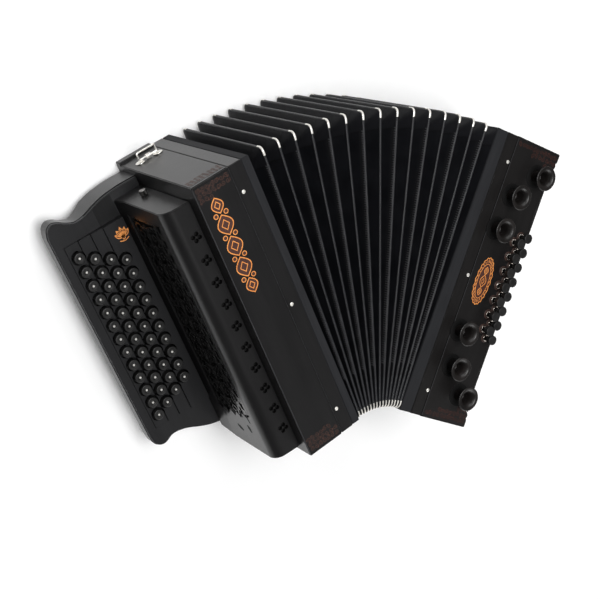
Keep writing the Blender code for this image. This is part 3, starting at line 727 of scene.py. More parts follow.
for k in range(0, FOLDS + 1):
    a, b = FOLD[k], FOLD[k + 1]
    body_a = "treble" if k == 0 else f"fold_{k:02d}"
    body_b = "bass" if k == FOLDS else f"fold_{k + 1:02d}"
    bm = bmesh.new()
    wl = bm.verts.layers.float.new("weight")
    pl = bm.verts.layers.float_vector.new("pleat")
    rl = bm.verts.layers.float.new("ribbed")
    near_stitch = k < FOLDS and (k + 1) % 2 == 1
    outer, inner = loop_pair(27.2)
    n = len(outer)
    levels = [0.0, 0.06, 0.3, 0.6, 0.9, 1.0]
    run, runs = 0.0, []
    for i in range(n):
        runs.append(run)
        p, q = outer[i], outer[(i + 1) % n]
        run += math.hypot(q[0] - p[0], q[1] - p[1])
    rings = []
    ha = -0.25 if k == 0 else 0.9
    hb = 0.25 if k == FOLDS else -0.9
    sink_a = 1.2 if k == 0 else 0.0
    sink_b = 1.2 if k == FOLDS else 0.0

    def corner_far(v, w, i):
        cv = min(v - R_V0, R_V1 - v)
        cw = min(w - R_W0, R_W1 - w)
        return max(cv, cw)

    seq = [(t, 0) for t in levels] + [(t, 1) for t in levels[-2::-1]]
    for t, side in seq:
        ring = []
        for i in range(n):
            o, inn = outer[i], inner[i]
            sink = sink_b if side else sink_a
            ov, ow = o[0] + o[2] * sink, o[1] + o[3] * sink
            pa = a @ Vector((ha, ov, ow))
            pb = b @ Vector((hb, ov, ow))
            ga, gb = a @ Vector((0, inn[0], inn[1])), b @ Vector((0, inn[0], inn[1]))
            half_gap = (ga - gb).length / 2
            valley = (ga + gb) / 2
            # the wall keeps its length: open pleats are a little shallower
            lift = 27.2 - math.sqrt(max(27.2 ** 2 - half_gap ** 2, 1.0))
            out_dir = (a.to_3x3() @ Vector((0, -inn[2], -inn[3])) + b.to_3x3() @ Vector((0, -inn[2], -inn[3]))).normalized()
            valley = valley + out_dir * lift
            # a small flat at the bottom of the fold keeps its two walls apart
            side_dir = (gb - ga).normalized()
            va = valley - side_dir * 0.35
            vb = valley + side_dir * 0.35
            p = (pa * (1 - t) + va * t) if side == 0 else (pb * (1 - t) + vb * t)
            vert = bm.verts.new(p)
            vert[wl] = 0.5 * t if side == 0 else 1 - 0.5 * t
            cfar = corner_far(o[0], o[1], i)
            vert[pl] = (runs[i] * MM, t, min(1.0, cfar / 60.0))
            vert[rl] = 1.0 if near_stitch and side == 1 and t < 0.2 else 0.0
            ring.append(vert)
        rings.append(ring)
    for r0, r1 in zip(rings, rings[1:]):
        for i in range(n):
            j = (i + 1) % n
            bm.faces.new((r0[i], r0[j], r1[j], r1[i]))
    bmesh.ops.recalc_face_normals(bm, faces=bm.faces)
    me = bpy.data.meshes.new(f"pleat_{k + 1:02d}")
    bm.to_mesh(me)
    bm.free()
    me.transform(Matrix.Scale(MM, 4))
    ob = bpy.data.objects.new(f"pleat_{k + 1:02d}", me)
    scene.collection.objects.link(ob)
    sol = ob.modifiers.new("thick", "SOLIDIFY")
    sol.thickness = 0.0005
    sol.offset = 0.0
    bpy.context.view_layer.update()
    new = bpy.data.meshes.new_from_object(ob.evaluated_get(bpy.context.evaluated_depsgraph_get()))
    ob.modifiers.clear()
    ob.data = new
    new.materials.clear()
    new.materials.append(M["card"])
    new.shade_smooth()
    new.set_sharp_from_angle(angle=math.radians(22))
    weights = [d.value for d in new.attributes["weight"].data]
    mid = (FOLD[k] @ Vector((0, 180, 95))) * MM
    end = (FOLD[k + 1] @ Vector((0, 180, 95))) * MM
    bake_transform(ob, body_a, body_b, tuple(mid), tuple(end))
    new.attributes["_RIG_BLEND"].data.foreach_set("value", weights)
    new.attributes.remove(new.attributes["weight"])

# --------------------------------------------------------------------------
# Treble box
# --------------------------------------------------------------------------
case = piece("treble_body", rbox(T_OUT, T_SEAM - 0.3, 0, HEIGHT, 0, DEPTH, 1.1, 3), TREBLE, "wood_t", "treble",
             ("treble_case",))
carve(case, rbox(T_OUT + 8, T_SEAM + 5, 8, HEIGHT - 8, 8, DEPTH - 8, 0))
carve(case, rbox(T_OUT + 0.3, T_SEAM - 0.6, HEIGHT - 5, HEIGHT + 3, 0.4, 11.5, 0.8, 2), "UNION")


def ring_piece(name, u0, u1, v0, v1, w0, w1, side, mat, at, body, node, r=0.7):
    ob = piece(name, rbox(u0, u1, v0, v1, w0, w1, r, 3), at, mat, body, (node,))
    return carve(ob, rbox(u0 - 3, u1 + 3, v0 + side, v1 - side, w0 + side, w1 - side, 0))


ring_piece("treble_frame_band", T_SEAM, T_RIM - 0.3, 0.5, HEIGHT - 0.5, 0, DEPTH - 0.5, 12, "wood_t", TREBLE,
           "treble", "treble_frame")
ring_piece("treble_rim_band", T_RIM, -0.3, 0.8, HEIGHT - 0.8, 0, DEPTH - 0.8, 26, "rim", TREBLE,
           "treble", "treble_bellows_rim")
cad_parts["treble_reed_board"].data.materials.clear()
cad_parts["treble_reed_board"].data.materials.append(M["reed"])
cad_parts["bass_reed_board"].data.materials.clear()
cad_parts["bass_reed_board"].data.materials.append(M["reed"])

# thin lid lip along the front and keyboard edges of the top and bottom
lips = []
for v0, v1 in ((HEIGHT - 3.4, HEIGHT - 2.9), (2.9, 3.4)):
    lips.append(rbox(T_OUT - 0.04, T_SEAM - 0.6, v0, v1, DEPTH - 1.0, DEPTH + 0.04, 0))
for v0, v1 in ((HEIGHT - 0.3, HEIGHT + 0.05), (-0.05, 0.3)):
    lips.append(rbox(T_OUT + 1.0, T_SEAM - 0.6, v0, v1, DEPTH - 5.4, DEPTH - 4.7, 0))
    lips.append(rbox(T_SEAM - 1.1, T_SEAM - 0.5, v0, v1, 12, DEPTH - 5.0, 0))
piece("treble_lid_line", join(*lips), TREBLE, "dark", "treble", (), 0)

# --- grille cover
CURVE_C, CURVE_R = (-93.5, 153.0), 15.4
arc = [(CURVE_C[0] + CURVE_R * math.cos(math.radians(a)), CURVE_C[1] + CURVE_R * math.sin(math.radians(a)))
       for a in [88 + 92 * i / 12 for i in range(13)]]
outline = [(T_OUT - 0.3, 50.3), (T_OUT - 0.3, 169.8)] + arc + [(-108.9, 69.0), (-112.8, 50.3)]
inner_arc = [(CURVE_C[0] + (CURVE_R - 3.4) * math.cos(math.radians(a)),
              CURVE_C[1] + (CURVE_R - 3.4) * math.sin(math.radians(a))) for a in [88 + 92 * i / 8 for i in range(9)]]
hollow = [(T_OUT + 4, 46.0), (T_OUT + 4, 166.2)] + inner_arc + [(-105.5, 69.6), (-110, 46)]
cover = piece("cover_shell", prism(outline, 7.5, 341.5, "v", 0.9, 3), TREBLE, "wood_t", "treble",
              ("grille_cover",), 28)
carve(cover, prism(hollow, 11.5, 337.5, "v"), smooth=28)
slant = bmesh.new()
ends = [[slant.verts.new((u, v, w)) for v, w, u in
         ((17.5, 50.3, near), (24.7, 50.3, near), (10.5, 74.8, far), (8.2, 74.8, far))]
        for near, far in ((-110.6, -106.9), (T_OUT - 0.5, T_OUT - 0.5))]
slant.faces.new(ends[0])
slant.faces.new(ends[1])
for k in range(4):
    slant.faces.new((ends[0][k], ends[0][(k + 1) % 4], ends[1][(k + 1) % 4], ends[1][k]))
bmesh.ops.recalc_face_normals(slant, faces=slant.faces)
carve(cover, slant, "UNION", smooth=28)
carve(cover, prism([(-5, 93.5), (-5, 30), (31.9, 30)], -122, -70, "u"), smooth=28)
window = [(57, 65), (51, 72), (58, 79), (50, 87), (59, 95), (52, 104), (61, 112), (55, 120), (64, 128), (60, 136), (66, 147),
          (323.5, 147), (323.5, 65)]
carve(cover, prism(window, -116, -100, "u"), smooth=28)


def quatrefoil(cu, cv, r=2.7, off=3.86, lean=math.radians(-22)):
    """Four round lobes, whose centres stand apart, around a small solid middle."""
    return [prism(circle(cu + off * math.cos(math.pi / 2 * q + lean), cv + off * math.sin(math.pi / 2 * q + lean), r, 18),
                  155, 178, "w")
            for q in range(4)]


carve(cover, join(*[p for i in range(10) for p in quatrefoil(-84.4, 301.5 - i * 28.9)]), smooth=28)
piece("cover_lining", prism([(p[0] + 4.6 * (1 if p[0] < -95 else 0.4), p[1] - 4.2) for p in
                             [(T_OUT - 3, 78.0), (T_OUT - 3, 168.4)] + arc + [(-108.9, 78.0)]],
                            12.5, 337, "v"), TREBLE, "felt_and_shadow", "treble", (), 30)

# --- pierced scroll panel in the side window
U_A, U_B = -108.5, -106.2
bars = []


def fret(points, width, closed=False):
    bars.append(ribbon(points, width, U_A, U_B, "u", closed))


# the diagonal-ended border follows the window
border = [(66.0, 125.6), (322.1, 125.6), (322.1, 66.4), (58.0, 66.4)]
fret(border, 2.6)
fret([(67.0, 143.6), (322.1, 143.6)], 6.2)
fret([(63.0, 133.0), (322.1, 133.0)], 2.2)
for i in range(30):
    v = 60.0 + 18.5 * i
    if v < 322:
        fret([(v + 1.0, 127.0), (v - 1.6, 133.0)], 7.6)
        fret([(v + 9.8, 133.0), (v + 7.6, 141.5)], 7.6)
for i in range(12):
    v = 58.0 + 23.6 * i
    if v + 24 > 323:
        break
    for s in (1.14, -1.14):
        mid = 97.0
        big = spiral(v + 6.6, mid + s * 12.8, 1.0, 9.0, 90 * s, 1.25, 26, 1 if s > 0 else -1)
        fret(big, lambda t: 1.3 + 0.9 * t)
        fret(wave([(v + 6.6, mid + s * 21.0), (v + 14.5, mid + s * 23.0), (v + 21.0, mid + s * 17.0),
                   (v + 20.4, mid + s * 8.0), (v + 13.5, mid + s * 2.0)], 5), lambda t: 2.0 - 0.7 * t)
        fret(spiral(v + 17.0, mid + s * 9.5, 0.7, 3.4, 200 * s, 1.0, 16, -1 if s > 0 else 1), 1.2)
        fret(wave([(v + 1.0, mid + s * 24.5), (v + 7.0, mid + s * 22.4), (v + 13.0, mid + s * 24.5)], 4), 1.6)
    fret(wave([(v - 1.0, mid), (v + 5.5, mid + 3.4), (v + 12.5, mid), (v + 5.5, mid - 3.4)], 5)[:-1], 1.5, True)
    fret([(v + 12.0, mid), (v + 23.0, mid)], 1.7)
    fret(circle(v + 17.6, mid, 2.1, 14), 1.2, True)
    for s in (1.14, -1.14):
        fret([(v + 18.5, mid + s * 2), (v + 22.2, mid + s * 13.5), (v + 22.6, mid + s * 25.0)], 1.5)
piece("scroll_panel", join(*bars), TREBLE, "fret", "treble", ("grille_fretwork",), 40)

# long dark slots past the lower end of the panel, on the cover's lower corner: flat black marks, painted shade in place
# of open slots
marks = []
for (v0, w0), (v1, w1) in (((46.7, 128.3), (36.4, 131.6)), ((65.0, 137.6), (53.4, 139.6)), ((66.5, 123.1), (56.9, 125.0)),
                           ((36.4, 97.3), (31.4, 108.5)), ((62.2, 99.3), (57.0, 108.4)), ((53.1, 77.8), (48.7, 85.0))):
    marks.append(ribbon([(v0, w0), ((v0 + v1) / 2, (w0 + w1) / 2 + 0.25), (v1, w1)],
                        lambda t, k=(1.9 if v0 < 50.0 else 1.1): k * (1.8 + 1.7 * math.sin(math.pi * t)), -108.98, -108.0, "u"))
piece("cover_slot_shade", join(*marks), TREBLE, "dark", "treble", (), 30)
# a thin light line along the top of the side window: painted highlight where the curve begins
piece("cover_edge_highlight", ribbon([(67.0, 147.7), (325.0, 147.7)], 0.55, -109.0, -108.5, "u"), TREBLE, "edge", "treble",
      (), 30)

# --- thumb screw on the cover's top plate
screw = []
knurl = []
for i in range(48):
    r = 4.5 if i % 2 else 4.2
    a = 2 * math.pi * i / 48
    knurl.append((-88.6 + r * math.cos(a), 85 + r * math.sin(a)))
screw.append(prism(knurl, 342.4, 347.6, "v", 0.35, 2))
screw.append(turned([(0, 341.6), (2.8, 341.6), (2.8, 342.9), (0, 342.9)], 24, -88.6, 85, "v"))
piece("cover_thumb_screw", join(*screw), TREBLE, "gun", "treble", ("grille_thumb_screw",), 35)
# the top disc is the lighter gunmetal copy: painted highlight on the top face
top_disc = piece("cover_thumb_screw_lit_top", turned(rounded_profile([(0, 347.2), (3.9, 347.2), (3.8, 348.1), (0, 348.25)], 0.5),
                                                 32, -88.6, 85, "v"), TREBLE, "gun_lit_top", "treble", (), 35)
carve(top_disc, rbox(-92.8, -84.4, 347.7, 349.0, 84.45, 85.55, 0), smooth=35)

# --- fingerboard: lower board and upper plate with a fine groove between them
bottom = wave([(-200.0, 62), (-198, 50), (-192, 44), (-184, 43), (-172, 47), (-156, 43.5),
               (-138, 34), (-122, 27), (-100, 22), (T_OUT - 0.3, 20)], 8)
top = wave([(T_OUT - 0.3, 353.5), (-100, 354), (-122, 352), (-138, 348), (-150, 344),
            (-162, 342.6), (-172, 346.5), (-181, 352.5), (-189, 354.5), (-196, 350), (-199.5, 340)], 8)
edge = bottom + top


def inset(points, d):
    _, right = offsets(points, 2 * d, True)
    left, _ = offsets(points, 2 * d, True)
    area = sum(points[i - 1][0] * points[i][1] - points[i][0] * points[i - 1][1] for i in range(len(points)))
    return left if area > 0 else right


lower = piece("fingerboard_lower", prism(edge, 11.0, 46.4, "w", 1.3, 4, "high"), TREBLE, "key_side", "treble",
              ("fingerboard_base",), 30)
carve(lower, prism([(-230, 3), (-138, 3), (-138, 10), (-165, 25), (-205, 31), (-230, 31)], -20, 380, "v"), smooth=30)
upper = piece("fingerboard_plate", prism(inset(edge, 1.1), 46.4, 50.0, "w", 1.0, 4, "high"), TREBLE, "key", "treble",
              (), 30)
# a thin light-grey band on the ledge between board and plate: a painted highlight of the rounded edge
rim_line = inset(edge, 0.95)
cut_a = max(i for i, q in enumerate(rim_line[:len(bottom)]) if q[0] < -150)
cut_b = min(i for i, q in enumerate(rim_line) if i >= len(bottom) and q[0] < -150)
piece("fingerboard_edge_highlight", ribbon(rim_line[cut_b:] + rim_line[:cut_a], 0.55, 46.2, 46.75, "w"), TREBLE, "ledge_highlight",
      "treble", (), 40)
for ob in (lower, upper):
    carve(ob, rbox(STRIP_U0 - 0.3, STRIP_U1 + 0.3, STRIP_V0 - 0.3, STRIP_V1 + 0.3, 44, 60, 0), smooth=30)
carve(lower, join(*[rbox(row_u(r) - 4.6, row_u(r) + 4.6, row_v(n)[-1] - 9, row_v(n)[0] + 9, 34, 52, 0)
                    for r, n in enumerate(ROWS)]), smooth=30)

# --- four stepped strips with round recesses
for r, n in enumerate(ROWS):
    u0 = STRIP_U0 if r == 0 else row_u(r) - ROW_STEP / 2
    u1 = STRIP_U1 if r == 3 else row_u(r) + ROW_STEP / 2
    level = KEY_FRONT + 0.8 + STAIR * r
    strip = piece(f"strip_{r + 1}", rbox(u0 + 0.06, u1 - 0.06, STRIP_V0, STRIP_V1, 44.3, level, 0.45, 3), TREBLE, "key",
                  "treble", ("fingerboard_strips",) if r == 0 else (), 30)
    cups = [prism(circle(row_u(r), v, 8.5, 36), 40, 70, "w") for v in row_v(n)]
    carve(strip, join(*cups), smooth=30)
    near = [prism(circle(row_u(q), v, 8.5, 36), 40, 70, "w") for q in (r - 1, r + 1) if 0 <= q < 4
            for v in row_v(ROWS[q])]
    carve(strip, join(*near), smooth=30)

# --- treble buttons, one piece per row, with their silver centres
for r, n in enumerate(ROWS):
    level = KEY_FRONT + 0.8 + STAIR * r
    body = f"treble_row_{r + 1}"
    prof = rounded_profile([(0, 42.0), (2.3, 42.0), (2.3, 47.6), (6.1, 48.4), (6.5, 49.4), (6.5, level + 4.7),
                            (2.75, level + 4.62), (2.45, level + 3.7), (0, level + 3.65)], 0.9, 4)
    caps = [turned(prof, 28, row_u(r), v) for v in row_v(n)]
    piece(f"button_caps_{r + 1}", join(*caps), TREBLE, "button", body,
          (f"treble_buttons_row_{r + 1}",), 34)
    dots = [turned([(0, level + 3.4), (1.38, level + 3.4), (1.38, level + 4.2), (1.15, level + 4.5), (0.7, level + 4.66),
                    (0, level + 4.72)], 18, row_u(r), v) for v in row_v(n)]
    piece(f"button_dots_{r + 1}", join(*dots), TREBLE, "pearl", body, (), 50)

# a thin darker sheet on the plate above the innermost strip, next to the cover: painted shade
shade = [(row_u(3) - ROW_STEP / 2 + 0.3, STRIP_V1 + 0.8), (STRIP_U1, STRIP_V1 + 0.8), (STRIP_U1, 350.6),
         (-122, 350.0), (-131, 348.2), (row_u(3) - ROW_STEP / 2 + 0.3, 345.6)]
piece("fingerboard_painted_shade", prism(shade, 49.9, 50.06, "w"), TREBLE, "shade", "treble", (), 30)

# --- strap brackets and bails
LOOP_U0, LOOP_U1, LOOP_W, LOOP_V = -61.5, -37.5, 40.5, HEIGHT + 3.6


def flipped(bm, mirror):
    if mirror:
        bmesh.ops.scale(bm, vec=(1, -1, 1), verts=bm.verts)
        bmesh.ops.translate(bm, vec=(0, HEIGHT, 0), verts=bm.verts)
        bmesh.ops.reverse_faces(bm, faces=bm.faces)
    return bm


def tube(points, r, sides=10, closed=False):
    """A round bar along 3-D points."""
    bm = bmesh.new()
    rings = []
    n = len(points)
    for i in range(n):
        p = Vector(points[i])
        a = Vector(points[i - 1]) if (i or closed) else p
        b = Vector(points[(i + 1) % n]) if (i < n - 1 or closed) else p
        t = (b - a).normalized()
        side = t.cross(Vector((0, 0, 1)))
        side = side.normalized() if side.length > 1e-3 else Vector((1, 0, 0))
        up = side.cross(t).normalized()
        rings.append([bm.verts.new(p + side * (r * math.cos(2 * math.pi * s / sides))
                                   + up * (r * math.sin(2 * math.pi * s / sides))) for s in range(sides)])
    for i in range(n if closed else n - 1):
        a, b = rings[i], rings[(i + 1) % n]
        for s in range(sides):
            bm.faces.new((a[s], a[(s + 1) % sides], b[(s + 1) % sides], b[s]))
    if not closed:
        bm.faces.new(rings[0][::-1])
        bm.faces.new(rings[-1])
    bmesh.ops.recalc_face_normals(bm, faces=bm.faces)
    return bm


def rounded_loop(pts, r, steps=5):
    out = []
    n = len(pts)
    for i in range(n):
        p, q, s = Vector(pts[i - 1]), Vector(pts[i]), Vector(pts[(i + 1) % n])
        a, b = (p - q).normalized(), (s - q).normalized()
        p0, p1 = q + a * r, q + b * r
        for k in range(steps + 1):
            t = k / steps
            out.append(tuple(p0 * (1 - t) ** 2 + q * 2 * t * (1 - t) + p1 * t * t))
    return out


for name, mirror in (("top", False), ("bottom", True)):
    parts = []
    for cu in (LOOP_U0, LOOP_U1):
        prof = rounded_profile([(0, HEIGHT + 0.2), (5.9, HEIGHT + 0.2), (6.0, HEIGHT + 1.2), (4.4, HEIGHT + 1.7),
                                (4.2, HEIGHT + 2.0), (0, HEIGHT + 2.0)], 0.35, 3)
        parts.append(turned(prof, 28, cu, LOOP_W, "v"))
        parts.append(turned(rounded_profile([(0, HEIGHT + 1.8), (2.0, HEIGHT + 1.8), (1.9, HEIGHT + 2.25),
                                             (0, HEIGHT + 2.4)], 0.3, 3), 20, cu, LOOP_W, "v"))
    waist = []
    for i in range(17):
        t = i / 16
        u = LOOP_U0 + (LOOP_U1 - LOOP_U0) * t
        waist.append((u, LOOP_W + 1.7 + 1.5 * abs(2 * t - 1) ** 2))
    for i in range(17):
        t = 1 - i / 16
        u = LOOP_U0 + (LOOP_U1 - LOOP_U0) * t
        waist.append((u, LOOP_W - 1.7 - 1.5 * abs(2 * t - 1) ** 2))
    parts.append(prism(waist, HEIGHT + 0.5, HEIGHT + 1.7, "v", 0.35, 2))
    barrel = []
    for i in range(25):
        a = math.pi * (i / 24)
        barrel.append((HEIGHT + 2.9 + 3.3 * math.sin(a), LOOP_W + 2.9 * math.cos(a)))
    barrel = [(HEIGHT + 1.0, LOOP_W + 2.9)] + barrel + [(HEIGHT + 1.0, LOOP_W - 2.9)]
    bm = prism(barrel, -53.0, -46.0, "u", 0.4, 2)
    parts.append(bm)
    for cu in (-56.6, -42.4):
        parts.append(turned(rounded_profile([(0, HEIGHT + 1.5), (1.25, HEIGHT + 1.5), (1.15, HEIGHT + 2.05),
                                             (0, HEIGHT + 2.25)], 0.25, 3), 16, cu, LOOP_W, "v"))
    br = piece(f"bracket_{name}", flipped(join(*parts), mirror), TREBLE, "nickel", "treble",
               (f"strap_bracket_{name}",), 35)
    carve(br, flipped(turned([(0, -54.5), (1.62, -54.5), (1.62, -44.5), (0, -44.5)], 24, LOOP_V, LOOP_W, "u"), mirror),
          smooth=35)
    a, b = LOOP_V, HEIGHT + 12.1
    pts = rounded_loop([(LOOP_U0, a, LOOP_W), (LOOP_U1, a, LOOP_W), (LOOP_U1, b, LOOP_W), (LOOP_U0, b, LOOP_W)], 2.0)
    piece(f"bail_{name}", flipped(tube(pts, 1.1, 14, True), mirror), TREBLE, "bright", f"strap_loop_{name}",
          (f"strap_loop_{name}",), 50)


# --- slotted screw heads on both frame bands
def pins(u, vs, w0):
    return [turned([(0, w0 - 0.6), (2.3, w0 - 0.6), (2.3, w0 + 0.15), (2.1, w0 + 0.5), (1.6, w0 + 0.72), (0.9, w0 + 0.84),
                    (0, w0 + 0.88)], 28, u, v) for v in vs]


def back_pins(u, vs):
    return [turned([(0, 0.4), (2.4, 0.4), (2.4, 0.05), (0, 0.02)], 20, u, v) for v in vs]


for name, at, body, u, vs in (("treble_pins", TREBLE, "treble", -22, (33, 181, 326)),
                              ("bass_pins", BASS, "bass", 31.6, (33, 181.5, 326))):
    ob = piece(name, join(*pins(u, vs, DEPTH - 0.5)), at, "plate", body, (), 50)
    carve(ob, join(*[rbox(u - 3, u + 3, v - 0.3, v + 0.3, DEPTH - 0.1, DEPTH + 1, 0) for v in vs]), smooth=50)

# --- thin light lines along the front edges and seams: painted edge highlights
for name, at, body, lines in (
        ("treble_edge_highlights", TREBLE, "treble", ((T_OUT + 0.5, 2.0, 358.0, 0.55, DEPTH), (T_SEAM - 0.15, 2.0, 358.0, 0.30, DEPTH - 0.35))),
        ("bass_edge_highlights", BASS, "bass", ((B_SEAM + 0.55, 2.0, 358.0, 0.42, DEPTH),))):
    piece(name, join(*[rbox(u - t / 2, u + t / 2, v0, v1, w - 0.3, w + 0.05, 0) for u, v0, v1, t, w in lines]), at, "edge",
          body, (), 0)

# --------------------------------------------------------------------------
# Bass box
# --------------------------------------------------------------------------
R = B_RAIL
foot = [(R, 1.0), (R, 7.5), (R - 0.4, 10.0), (R - 1.7, 11.2), (R - 1.7, 12.6), (R - 0.7, 13.6), (R - 0.9, 15.8),
        (R - 2.2, 18.2), (R - 4.2, 20.0), (B_OUT - 4.0, 20.0)]
head = [(a, HEIGHT - b * 1.1) for a, b in foot][::-1]
head[0] = (B_OUT - 4.0, HEIGHT - 22.0)
bass_outline = [(B_SEAM + 0.3, 0), (R - 1.0, 0)] + foot + head + [(R - 1.0, HEIGHT), (B_SEAM + 0.3, HEIGHT)]
bass_body = piece("bass_body", prism(bass_outline, 0, DEPTH, "w", 0.6, 3), BASS, "wood_b", "bass",
                  ("bass_case",), 28)
carve(bass_body, rbox(B_SEAM - 5, B_OUT - 8, 8, HEIGHT - 8, 8, DEPTH - 8, 0), smooth=28)
carve(bass_body, join(*[prism(circle(u, v, 2.6, 20), 176, 196, "w") for u, v in BASS_SPOTS]
                      + [prism(circle(268.0, 150.0, 3.2, 24), B_OUT - 16, B_OUT + 4, "u")]), smooth=28)
cover_b = piece("bass_end_plate", rbox(B_OUT - 3.7, B_OUT, 20.3, HEIGHT - 22.3, 0.3, DEPTH, 0.6, 3), BASS, "wood_b",
                "bass", ("bass_end_cover",), 30)
carve(cover_b, prism(circle(268.0, 150.0, 3.2, 24), B_OUT - 8, B_OUT + 4, "u"), smooth=30)
ring_piece("bass_frame_band", B_RIM + 0.3, B_SEAM, 0.5, HEIGHT - 0.5, 0, DEPTH - 0.5, 12, "wood_b", BASS,
           "bass", "bass_frame")
ring_piece("bass_rim_band", 0.3, B_RIM, 0.8, HEIGHT - 0.8, 0, DEPTH - 0.8, 26, "rim", BASS,
           "bass", "bass_bellows_rim")

i = 0
for side in (1, -1):
    for u, off in HORNS[::side]:
        i += 1
        v = HORN_MID + side * off
        prof = rounded_profile([(0, 193.0), (5.9, 193.0), (6.2, 200.4), (7.2, 204.4), (8.8, 207.4),
                                (11.0, 209.5), (14.4, 210.15), (15.3, 209.5), (14.8, 208.5), (12.4, 206.2), (9.5, 203.0),
                                (8.0, 199.0), (7.6, 195.0), (7.6, 190.3), (0, 190.3)], 0.8, 4)
        piece(f"horn_{i}", turned(prof, 56, u, v), BASS, "horn", "bass", (f"bass_horn_{i}",), 55)

# flat black discs on the front under each horn: painted shadow of the bells
rings = [turned(rounded_profile([(0, 189.8), (14.6, 189.8), (14.4, 190.45), (9.5, 190.7), (0, 190.7)], 0.3, 2), 48, u,
                HORN_MID + side * off) for side in (1, -1) for u, off in HORNS]
piece("horn_painted_shadows", join(*rings), BASS, "felt_and_shadow", "bass", (), 40)

for i, (u, v) in enumerate(BASS_SPOTS):
    body = f"bass_button_{i + 1:02d}"
    prof = rounded_profile([(0, 184.0), (1.9, 184.0), (1.9, 198.4), (5.5, 199.0), (6.1, 200.2), (6.1, 205.5),
                            (3.2, 205.35), (0, 205.2)], 0.8, 4)
    piece(f"bass_cap_{i + 1:02d}", turned(prof, 32, u, v), BASS, "button", body, (body,), 36)
washers = [turned([(0, 189.8), (6.2, 189.8), (6.2, 190.5), (5.8, 190.7), (0, 190.7)], 32, u, v) for u, v in BASS_SPOTS]
washers = piece("bass_washers", join(*washers), BASS, "washer", "bass", (), 40)
carve(washers, join(*[prism(circle(u, v, 2.7, 24), 180, 196, "w") for u, v in BASS_SPOTS]), smooth=40)
collars = []
for u, v in BASS_SPOTS:
    prof = rounded_profile([(2.9, 190.4), (4.3, 190.4), (4.2, 191.9), (3.8, 192.5), (3.3, 192.5), (2.9, 192.0)], 0.35, 3)
    bm = bmesh.new()
    rings = [[bm.verts.new((u + r * math.cos(2 * math.pi * s / 28), v + r * math.sin(2 * math.pi * s / 28), h))
              for s in range(28)] for r, h in prof]
    for a in range(len(rings)):
        b = (a + 1) % len(rings)
        for s in range(28):
            bm.faces.new((rings[a][s], rings[a][(s + 1) % 28], rings[b][(s + 1) % 28], rings[b][s]))
    bmesh.ops.recalc_face_normals(bm, faces=bm.faces)
    collars.append(bm)
piece("bass_collars", join(*collars), BASS, "collar", "bass", (), 45)

# air button on the outer side
prof = rounded_profile([(0, B_OUT - 12.0), (2.4, B_OUT - 12.0), (2.4, B_OUT + 5.6), (7.2, B_OUT + 6.2),
                        (8.0, B_OUT + 7.6), (7.8, B_OUT + 9.6), (5.0, B_OUT + 10.4), (0, B_OUT + 10.5)], 0.9, 4)
piece("air_cap", turned(prof, 40, 268.0, 150.0, "u"), BASS, "button", "air_button", ("air_button",), 40)

# hand strap: a padded leather band with stitched edges and two screwed ends
S_V0, S_V1, RISE, THICK = 62.0, 298.0, 27.0, 3.3


def strap_centre(s):
    if s < 0.11:
        return 36.5 + (S_V0 - 36.5) * (s / 0.11), 0.0
    if s > 0.89:
        return S_V1 + (323.5 - S_V1) * ((s - 0.89) / 0.11), 0.0
    t = (s - 0.11) / 0.78
    return S_V0 + (S_V1 - S_V0) * t, RISE * math.sin(math.pi * t) ** 0.8


N, W = 96, 16
bm = bmesh.new()
rows = []
for i in range(N + 1):
    s = i / N
    v, h = strap_centre(s)
    ring = []
    for j in range(W + 1):
        x = -1 + 2 * j / W
        w = 85 + 26.2 * x
        puff = 0.9 * (1 - x ** 4) * min(1.0, h / 6.0)
        ring.append((v, w, B_OUT + 0.3 + h + THICK * (0.55 + 0.45 * min(1.0, (1 - abs(x)) * 6)) + puff * 0.0
                     + 0.35 * math.cos(x * math.pi) * min(1.0, h / 8.0)))
    rows.append(ring)
topv = [[bm.verts.new((p[2], p[0], p[1])) for p in r] for r in rows]
low = [[bm.verts.new((B_OUT + 0.3 + strap_centre(i / N)[1], r[j][0], r[j][1])) for j in range(W + 1)]
       for i, r in enumerate(rows)]
for i in range(N):
    for j in range(W):
        bm.faces.new((topv[i][j], topv[i][j + 1], topv[i + 1][j + 1], topv[i + 1][j]))
        bm.faces.new((low[i][j], low[i + 1][j], low[i + 1][j + 1], low[i][j + 1]))
    bm.faces.new((topv[i][0], topv[i + 1][0], low[i + 1][0], low[i][0]))
    bm.faces.new((topv[i][W], low[i][W], low[i + 1][W], topv[i + 1][W]))
for i, order in ((0, 1), (N, -1)):
    for j in range(W):
        bm.faces.new((topv[i][j], low[i][j], low[i][j + 1], topv[i][j + 1]))
bmesh.ops.recalc_face_normals(bm, faces=bm.faces)
piece("hand_strap_leather", bm, BASS, "strap", "bass", ("hand_strap",), 40)
stitches = []
for side in (-1, 1):
    for i in range(3, 150):
        s0, s1 = i / 153, (i + 0.62) / 153
        pts = []
        for s in (s0, (s0 + s1) / 2, s1):
            v, h = strap_centre(s)
            pts.append((B_OUT + 0.3 + h + THICK + 0.02 + 0.35 * math.cos(0.86 * math.pi) * min(1.0, h / 8.0), v,
                        85 + side * 26.2 * 0.86))
        pts[0] = (pts[0][0] - 0.25, pts[0][1], pts[0][2])
        pts[2] = (pts[2][0] - 0.25, pts[2][1], pts[2][2])
        stitches.append(tube(pts, 0.28, 6))
piece("hand_strap_stitches", join(*stitches), BASS, "thread", "bass", (), 60)
plates = []
for vc in (44.0, 316.0):
    plates.append(place(rbox(B_OUT + 3.2, B_OUT + 4.4, vc - 5.0, vc + 5.0, 62, 108, 0.5, 3), Matrix.Identity(4)))
    for wc in (68, 102):
        plates.append(turned(rounded_profile([(0, B_OUT + 4.2), (2.6, B_OUT + 4.2), (2.4, B_OUT + 4.9),
                                              (0, B_OUT + 5.4)], 0.4, 3), 20, vc, wc, "u"))
